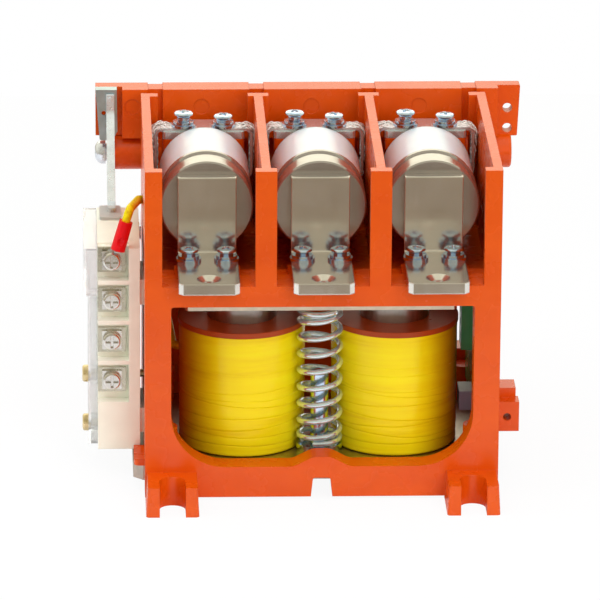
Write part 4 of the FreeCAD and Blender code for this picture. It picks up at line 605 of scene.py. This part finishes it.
def make_materials():
    """Material of each node, or of all nodes whose names start with a key that ends in _."""
    orange = orange_plastic()
    zinc = zinc_bolt()
    bar = nickel("nickel_bar", (0.76, 0.73, 0.67), 0.10, 0.20, 0.0009, 0.93)
    tin = nickel("tinned_bar", (0.80, 0.88, 0.90), 0.16, 0.30, metallic=0.82)
    cap = nickel("tube_cap", (0.49, 0.46, 0.42), 0.12, 0.24, metallic=0.82)
    wire = steel("spring_steel", (0.80, 0.96, 1.0), 0.12, 0.26, metallic=0.8)
    return {
        "main_frame": orange,
        "swing_arm": orange,
        "front_terminal_": bar,
        "rear_terminal_": tin,
        "terminal_screws": zinc,
        "spring_washers": zinc,
        "flat_washers": zinc,
        "tube_end_caps": cap,
        "tube_ceramic_": ceramic(),
        "tube_bellows": tin,
        "fixed_contacts": copper(),
        "moving_stem_": copper(),
        "stem_hardware_": zinc,
        "contact_spring_": wire,
        "braids_": tin,
        "yoke_plate": steel("zinc_plate", (0.52, 0.46, 0.40), 0.28, 0.48, (3, 1, 1)),
        "magnet_cores": steel("soft_iron", (0.56, 0.545, 0.52), 0.26, 0.46, (1, 6, 1)),
        "core_bolts": zinc,
        "coil_bobbins": plastic("bobbin_brown", (0.40, 0.055, 0.010), 0.24, 0.36, 0.06, 0.0007,
                                Specular_IOR_Level=0.22),
        "coil_winding_": tape(),
        "frame_screws": zinc,
        "spring_guide": zinc,
        "return_spring": wire,
        "pivot_shaft": zinc,
        "shaft_clips": wire,
        "armature_plate": steel("armature_iron", (0.92, 0.83, 0.68), 0.26, 0.46, (1, 6, 1)),
        "armature_screws": zinc,
        "lever_bracket": steel("bracket_zinc", (0.50, 0.62, 0.68), 0.30, 0.44, metallic=0.95),
        "bracket_screw": steel("bright_zinc", (0.80, 0.84, 0.90), 0.14, 0.28, metallic=0.85),
        "drive_strip": steel("strip_steel", (0.84, 0.93, 1.0), 0.22, 0.36, metallic=0.75),
        "aux_body": plastic("cream_nylon", (0.97, 0.98, 0.82), 0.26, 0.40,
                            Specular_IOR_Level=0.3),
        "aux_cover": clear_plastic("clear_cover", (1.0, 1.0, 1.0), 0.12, 0.75),
        "aux_guide": clear_plastic("milky_nylon", (0.92, 0.90, 0.82), 0.35, 0.45),
        "aux_mount_screws": steel("yellow_zinc", (0.80, 0.64, 0.36), 0.2, 0.36),
        "aux_screws": steel("clamp_nickel", (0.76, 0.74, 0.70), 0.16, 0.30),
        "aux_terminals": steel("clamp_plate", (0.60, 0.57, 0.46), 0.2, 0.36),
        "aux_plunger": clear_plastic("plunger_nylon", (0.90, 0.88, 0.80), 0.35, 0.35),
        "aux_bridges": steel("rolled_brass", (0.78, 0.56, 0.26), 0.2, 0.36),
        "aux_spring": wire,
        "lead_sleeve": sleeving(),
        "crimp_sleeve": plastic("red_vinyl", (0.80, 0.007, 0.012), 0.24, 0.36, 0.1,
                                Specular_IOR_Level=0.2),
        "lead_lug": tin,
        "coil_board": board(),
        "board_terminal_block": plastic("block_green", (0.05, 0.34, 0.09), 0.3, 0.45),
        "board_relay": plastic("relay_case", (0.33, 0.31, 0.40), 0.3, 0.42),
    }


def dress(materials):
    """Gives each node of the frame its material."""
    for name, obj in nodes.items():
        fits = [
            material for key, material in materials.items()
            if name == key or (key.endswith("_") and name.startswith(key))
        ]
        obj.data.materials.clear()
        obj.data.materials.append(fits[0])


# Making pieces

def add_piece(name, verts, faces, material, body=None):
    """Smooth piece from points in metres. A piece with no body stays unattached."""
    mesh = bpy.data.meshes.new(name)
    mesh.from_pydata([tuple(v) for v in verts], [], faces)
    mesh.polygons.foreach_set("use_smooth", [True] * len(mesh.polygons))
    mesh.materials.append(material)
    obj = bpy.data.objects.new(name, mesh)
    bpy.context.scene.collection.objects.link(obj)
    if body:
        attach(obj, body)
    return obj


def flexible_copy(node, name, material, body=None):
    """Piece with the shape of a solid of the frame, in its place; the solid is hidden."""
    solid = nodes[node]
    verts = [solid.matrix_world @ v.co for v in solid.data.vertices]
    faces = [tuple(p.vertices) for p in solid.data.polygons]
    piece = add_piece(name, verts, faces, material, body)
    piece.data.set_sharp_from_angle(angle=SOLID_SHARP)
    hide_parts(node)
    return piece


def tube_faces(rings, rim):
    """Four-sided faces between rings of so many points each."""
    faces = []
    for i in range(rings - 1):
        for k in range(rim):
            m = (k + 1) % rim
            faces.append((i * rim + k, i * rim + m, (i + 1) * rim + m, (i + 1) * rim + k))
    return faces


# Taped windings

def waves(rng, turn, height, count):
    """Smooth random field, periodic round the coil, between about -1 and 1."""
    total = np.zeros_like(turn)
    for _ in range(count):
        around = rng.integers(1, 7)
        along = rng.uniform(0.3, 1.0) * TAPE_WAVE_REACH
        phase = rng.uniform(0, 2 * math.pi, 2)
        wave = np.sin(around * turn + phase[0]) * np.sin(along * height + phase[1])
        total += wave / count ** 0.5
    return total


def tape_depth(rng, turn, height, laps):
    """How far the film lies inside the coil's radius at each turn and height."""
    ripple = waves(rng, turn, height, TAPE_RIPPLE_WAVES)
    depth = TAPE_DEPTH + TAPE_RIPPLE * ripple
    for z, tilt, aim, step in laps:
        wander = LAP_WANDER * waves(rng, turn, height * 0, LAP_WANDER_WAVES)
        gap = height - (z + tilt * np.cos(turn - aim) + wander)
        depth += step * np.where(gap < 0, np.exp(gap / LAP_FADE), 0.0)
        depth += 0.5 * step * np.exp(-(gap / LAP_LIP) ** 2)
    low = np.clip((TAPE_LOW + HEM_HEIGHT - height) / HEM_HEIGHT, 0, 1)
    hem = HEM_DEPTH * (1 - np.sqrt(1 - low ** 2 * HEM_ROUNDNESS))
    return np.clip(depth, TAPE_SHALLOWEST, TAPE_DEEPEST) + hem


def tape_piece(name, x, seed, laps, material):
    """Overlapped turns of film with creases, wrapped in over the lower edge."""
    rng = np.random.default_rng(seed)
    around, up = TAPE_AROUND, TAPE_UP
    turn = np.linspace(0, 2 * math.pi, around, endpoint=False)[None, :]
    height = np.linspace(TAPE_LOW, TAPE_TOP, up)[:, None]
    turn, height = np.broadcast_arrays(turn, height)
    radius = COIL_R - tape_depth(rng, turn, height, laps)
    px = x + radius * np.cos(turn)
    py = COIL_Y + radius * np.sin(turn)
    outer = np.stack([px, py, height], axis=-1).reshape(-1, 3)
    inner = [
        [(x + r * math.cos(t), COIL_Y + r * math.sin(t), z) for t in turn[0]]
        for r, z in TAPE_INNER
    ]
    verts = np.vstack([outer, *inner]) * MM
    faces = tube_faces(up, around)
    top = (up - 1) * around
    inner_low = up * around
    inner_top = inner_low + around
    for i in range(around):
        k = (i + 1) % around
        faces.append((inner_low + i, inner_low + k, k, i))
        faces.append((top + i, top + k, inner_top + k, inner_top + i))
    return add_piece(name, verts, faces, material, "frame")


def make_tapes(material):
    """Film on both coils."""
    for name, node, x, seed, laps in TAPES:
        piece = tape_piece(name, x, seed, laps, material)
        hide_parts(node)


# Braids

def strap_path(side, x, samples):
    """Middle line of one strap, from its top end down to its lower one.

    Each entry holds x, z and the x and z of the outward normal.
    """
    corner = BRAID_OUT - BRAID_R
    run_top = corner - BRAID_TOP_END
    arc = BRAID_R * math.pi / 2
    fall = BRAID_HIGH - BRAID_LOW - 2 * BRAID_R
    run_low = corner - BRAID_LOW_END
    points = []
    for s in np.linspace(0, run_top + arc + fall + arc + run_low, samples):
        if s < run_top:
            points.append((BRAID_TOP_END + s, BRAID_HIGH, 0.0, 1.0))
            continue
        s -= run_top
        if s < arc:
            cos, sin = math.cos(s / BRAID_R), math.sin(s / BRAID_R)
            points.append((corner + BRAID_R * sin, BRAID_HIGH - BRAID_R + BRAID_R * cos, sin, cos))
            continue
        s -= arc
        if s < fall:
            points.append((BRAID_OUT, BRAID_HIGH - BRAID_R - s, 1.0, 0.0))
            continue
        s -= fall
        if s < arc:
            cos, sin = math.cos(s / BRAID_R), math.sin(s / BRAID_R)
            points.append((corner + BRAID_R * cos, BRAID_LOW + BRAID_R - BRAID_R * sin, cos, -sin))
            continue
        s -= arc
        points.append((corner - s, BRAID_LOW, 0.0, -1.0))
    return [(x + side * a, b, side * c, d) for a, b, c, d in points]


def strand(path, lateral, lift, radius):
    """Points of a wire: lateral moves it across the strap, lift off the strap's middle."""
    centres = [
        Vector((p[0] + p[2] * u, BRAID_Y + v, p[1] + p[3] * u))
        for p, v, u in zip(path, lateral, lift)
    ]
    verts = []
    last = len(centres) - 1
    for i, centre in enumerate(centres):
        along = (centres[min(i + 1, last)] - centres[max(i - 1, 0)]).normalized()
        a = along.cross(Vector((0, 1, 0))).normalized()
        b = along.cross(a)
        for k in range(STRAND_RIM):
            t = 2 * math.pi * k / STRAND_RIM
            verts.append((centre + (a * math.cos(t) + b * math.sin(t)) * radius) * MM)
    return verts


def strand_course(rng, k, t, ends):
    """Lateral place and lift of strand k along the strap. The ends lie flat and tight."""
    lean = 1 if k % 2 else -1
    phase = (k // 2) / (STRANDS / 2)
    zigzag = np.abs(((t * STRAND_CROSSINGS * lean + phase) % 1.0) * 2 - 1) * 2 - 1
    sway = np.sin(2 * math.pi * (rng.uniform(2, 4) * t + rng.uniform()))
    lateral = STRAND_REACH * zigzag + STRAND_SWAY * sway
    over = 1 if k % 4 < 2 else -1
    weave = np.sin(2 * math.pi * (STRAND_WEAVES * t + phase * 2))
    lift = over * (STRAND_LIFT + STRAND_WEAVE * weave)
    wander = np.sin(2 * math.pi * (rng.uniform(1, 2.4) * t + rng.uniform()))
    lift = lift + ends * STRAND_WANDER * wander
    lift = np.where(ends < 1, over * 0.5 * ends + lift * ends * 0.5, lift)
    if over > 0:
        loose = rng.uniform(*LOOSE_ARCS)
        shoulder = rng.uniform(*SHOULDERS)
        lift = lift + loose * np.exp(-((t - shoulder) / SHOULDER_LENGTH) ** 2)
    return np.clip(lateral, -STRAND_LIMIT, STRAND_LIMIT), lift


def make_braids(material, strap_material):
    """Straps and the loose plaited strands over both their faces."""
    rng = np.random.default_rng(BRAID_SEED)
    t = np.linspace(0, 1, BRAID_SAMPLES)
    ends = np.clip(np.minimum(t, 1 - t) / END_LENGTH, 0, 1)
    one_strand = tube_faces(BRAID_SAMPLES, STRAND_RIM)
    for number, x in enumerate(POLES, 1):
        verts, faces = [], []
        for side in (-1, 1):
            path = strap_path(side, x, BRAID_SAMPLES)
            for k in range(STRANDS):
                lateral, lift = strand_course(rng, k, t, ends)
                base = len(verts)
                verts += strand(path, lateral, lift, rng.uniform(*STRAND_RADII))
                faces += [tuple(base + i for i in face) for face in one_strand]
        strands = add_piece("strands_%d" % number, verts, faces, material)
        straps = flexible_copy("braids_%d" % number, "straps_%d" % number, strap_material)
        for piece in (strands, straps):
            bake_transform(piece)


# Terminal screws

def screw_places():
    """Centre, height of the seat and turn of each terminal screw."""
    rng = np.random.default_rng(SCREW_SEED)
    places = []
    for pole in POLES:
        for side in (-1, 1):
            out, y, seat = FRONT_SCREW
            places.append((pole + side * out, y, seat, rng.uniform(0, math.pi)))
            out, y = REAR_SCREW
            places.append((pole + side * out, y, REAR_SEATS[side], rng.uniform(0, math.pi)))
    return places


def recess(x, y):
    """Depth of the crossed recess at a point of the crown."""
    deepest = 0.0
    for along, across in ((x, y), (y, x)):
        wall = max(0.0, min(1.0, (RECESS_HALF - abs(across)) / RECESS_WALL + 0.5))
        end = max(0.0, min(1.0, (RECESS_REACH - abs(along)) / RECESS_END))
        deepest = max(deepest, wall * end)
    return RECESS_DEPTH * deepest


def make_terminal_screws(material):
    """Twelve screws: a flat crown with a crossed recess on a narrower neck."""
    around = SCREW_AROUND
    crown = [(r, CROWN_TOP - CROWN_CURVE * r ** 2) for r in CROWN_RINGS]
    rings = crown + list(SCREW_PROFILE)
    verts, faces = [], []
    for x, y, seat, turn in screw_places():
        cos, sin = math.cos(turn), math.sin(turn)
        base = len(verts)
        verts.append((x, y, seat + CROWN_TOP - recess(0, 0)))
        for n, (r, z) in enumerate(rings):
            for k in range(around):
                a = 2 * math.pi * k / around
                px, py = r * math.cos(a), r * math.sin(a)
                cut = recess(px, py) if n < len(crown) else 0.0
                verts.append((x + px * cos - py * sin, y + px * sin + py * cos, seat + z - cut))
        for k in range(around):
            m = (k + 1) % around
            faces.append((base, base + 1 + k, base + 1 + m))
            for n in range(len(rings) - 1):
                low = base + 1 + n * around
                faces.append((low + k, low + around + k, low + around + m, low + m))
        last = base + 1 + (len(rings) - 1) * around
        faces.append(tuple(last + k for k in reversed(range(around))))
    verts = [(a * MM, b * MM, c * MM) for a, b, c in verts]
    piece = add_piece("terminal_screw_set", verts, faces, material, "frame")
    piece.data.set_sharp_from_angle(angle=SCREW_SHARP)
    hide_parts("terminal_screws")


# Springs

def spring_height(turn):
    """Height of the wire after so many turns: closed end turns, open turns between."""
    if turn < 1:
        return SPRING_LOW + CLOSED_PITCH * turn
    if turn > SPRING_TURNS - 1:
        return SPRING_HIGH - CLOSED_PITCH * (SPRING_TURNS - turn)
    pitch = (SPRING_HIGH - SPRING_LOW - 2 * CLOSED_PITCH) / (SPRING_TURNS - 2)
    return SPRING_LOW + CLOSED_PITCH + pitch * (turn - 1)


def make_return_spring(material):
    """Coil of round wire with closed ends."""
    steps, rim = SPRING_STEPS, SPRING_RIM
    centres = []
    for n in range(steps + 1):
        turn = SPRING_TURNS * n / steps
        angle = math.radians(SPRING_START) + 2 * math.pi * turn
        x = WIRE_MEAN_R * math.cos(angle)
        y = SPRING_Y + WIRE_MEAN_R * math.sin(angle)
        centres.append(Vector((x, y, spring_height(turn))))
    verts = []
    for n, centre in enumerate(centres):
        along = (centres[min(n + 1, steps)] - centres[max(n - 1, 0)]).normalized()
        outward = Vector((centre.x, centre.y - SPRING_Y, 0)).normalized()
        upward = along.cross(outward)
        for k in range(rim):
            t = 2 * math.pi * k / rim
            verts.append((centre + (outward * math.cos(t) + upward * math.sin(t)) * WIRE_R) * MM)
    faces = tube_faces(steps + 1, rim)
    faces.append(tuple(range(rim)))
    faces.append(tuple(reversed([steps * rim + k for k in range(rim)])))
    spring = add_piece("return_spring_coil", verts, faces, material, "frame")
    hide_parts("return_spring")
    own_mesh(spring)


def make_plunger_spring(material):
    """Spring of the auxiliary switch, as a piece with its own mesh."""
    spring = flexible_copy("aux_spring", "plunger_spring", material, "frame")
    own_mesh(spring)


make_camera()
make_world()
make_floor()
make_lights()
materials = make_materials()
dress(materials)
make_tapes(materials["coil_winding_"])
make_braids(strand_metal(), materials["braids_"])
make_return_spring(materials["return_spring"])
make_terminal_screws(materials["terminal_screws"])
make_plunger_spring(materials["aux_spring"])

bpy.context.scene.view_settings.view_transform = "Standard"
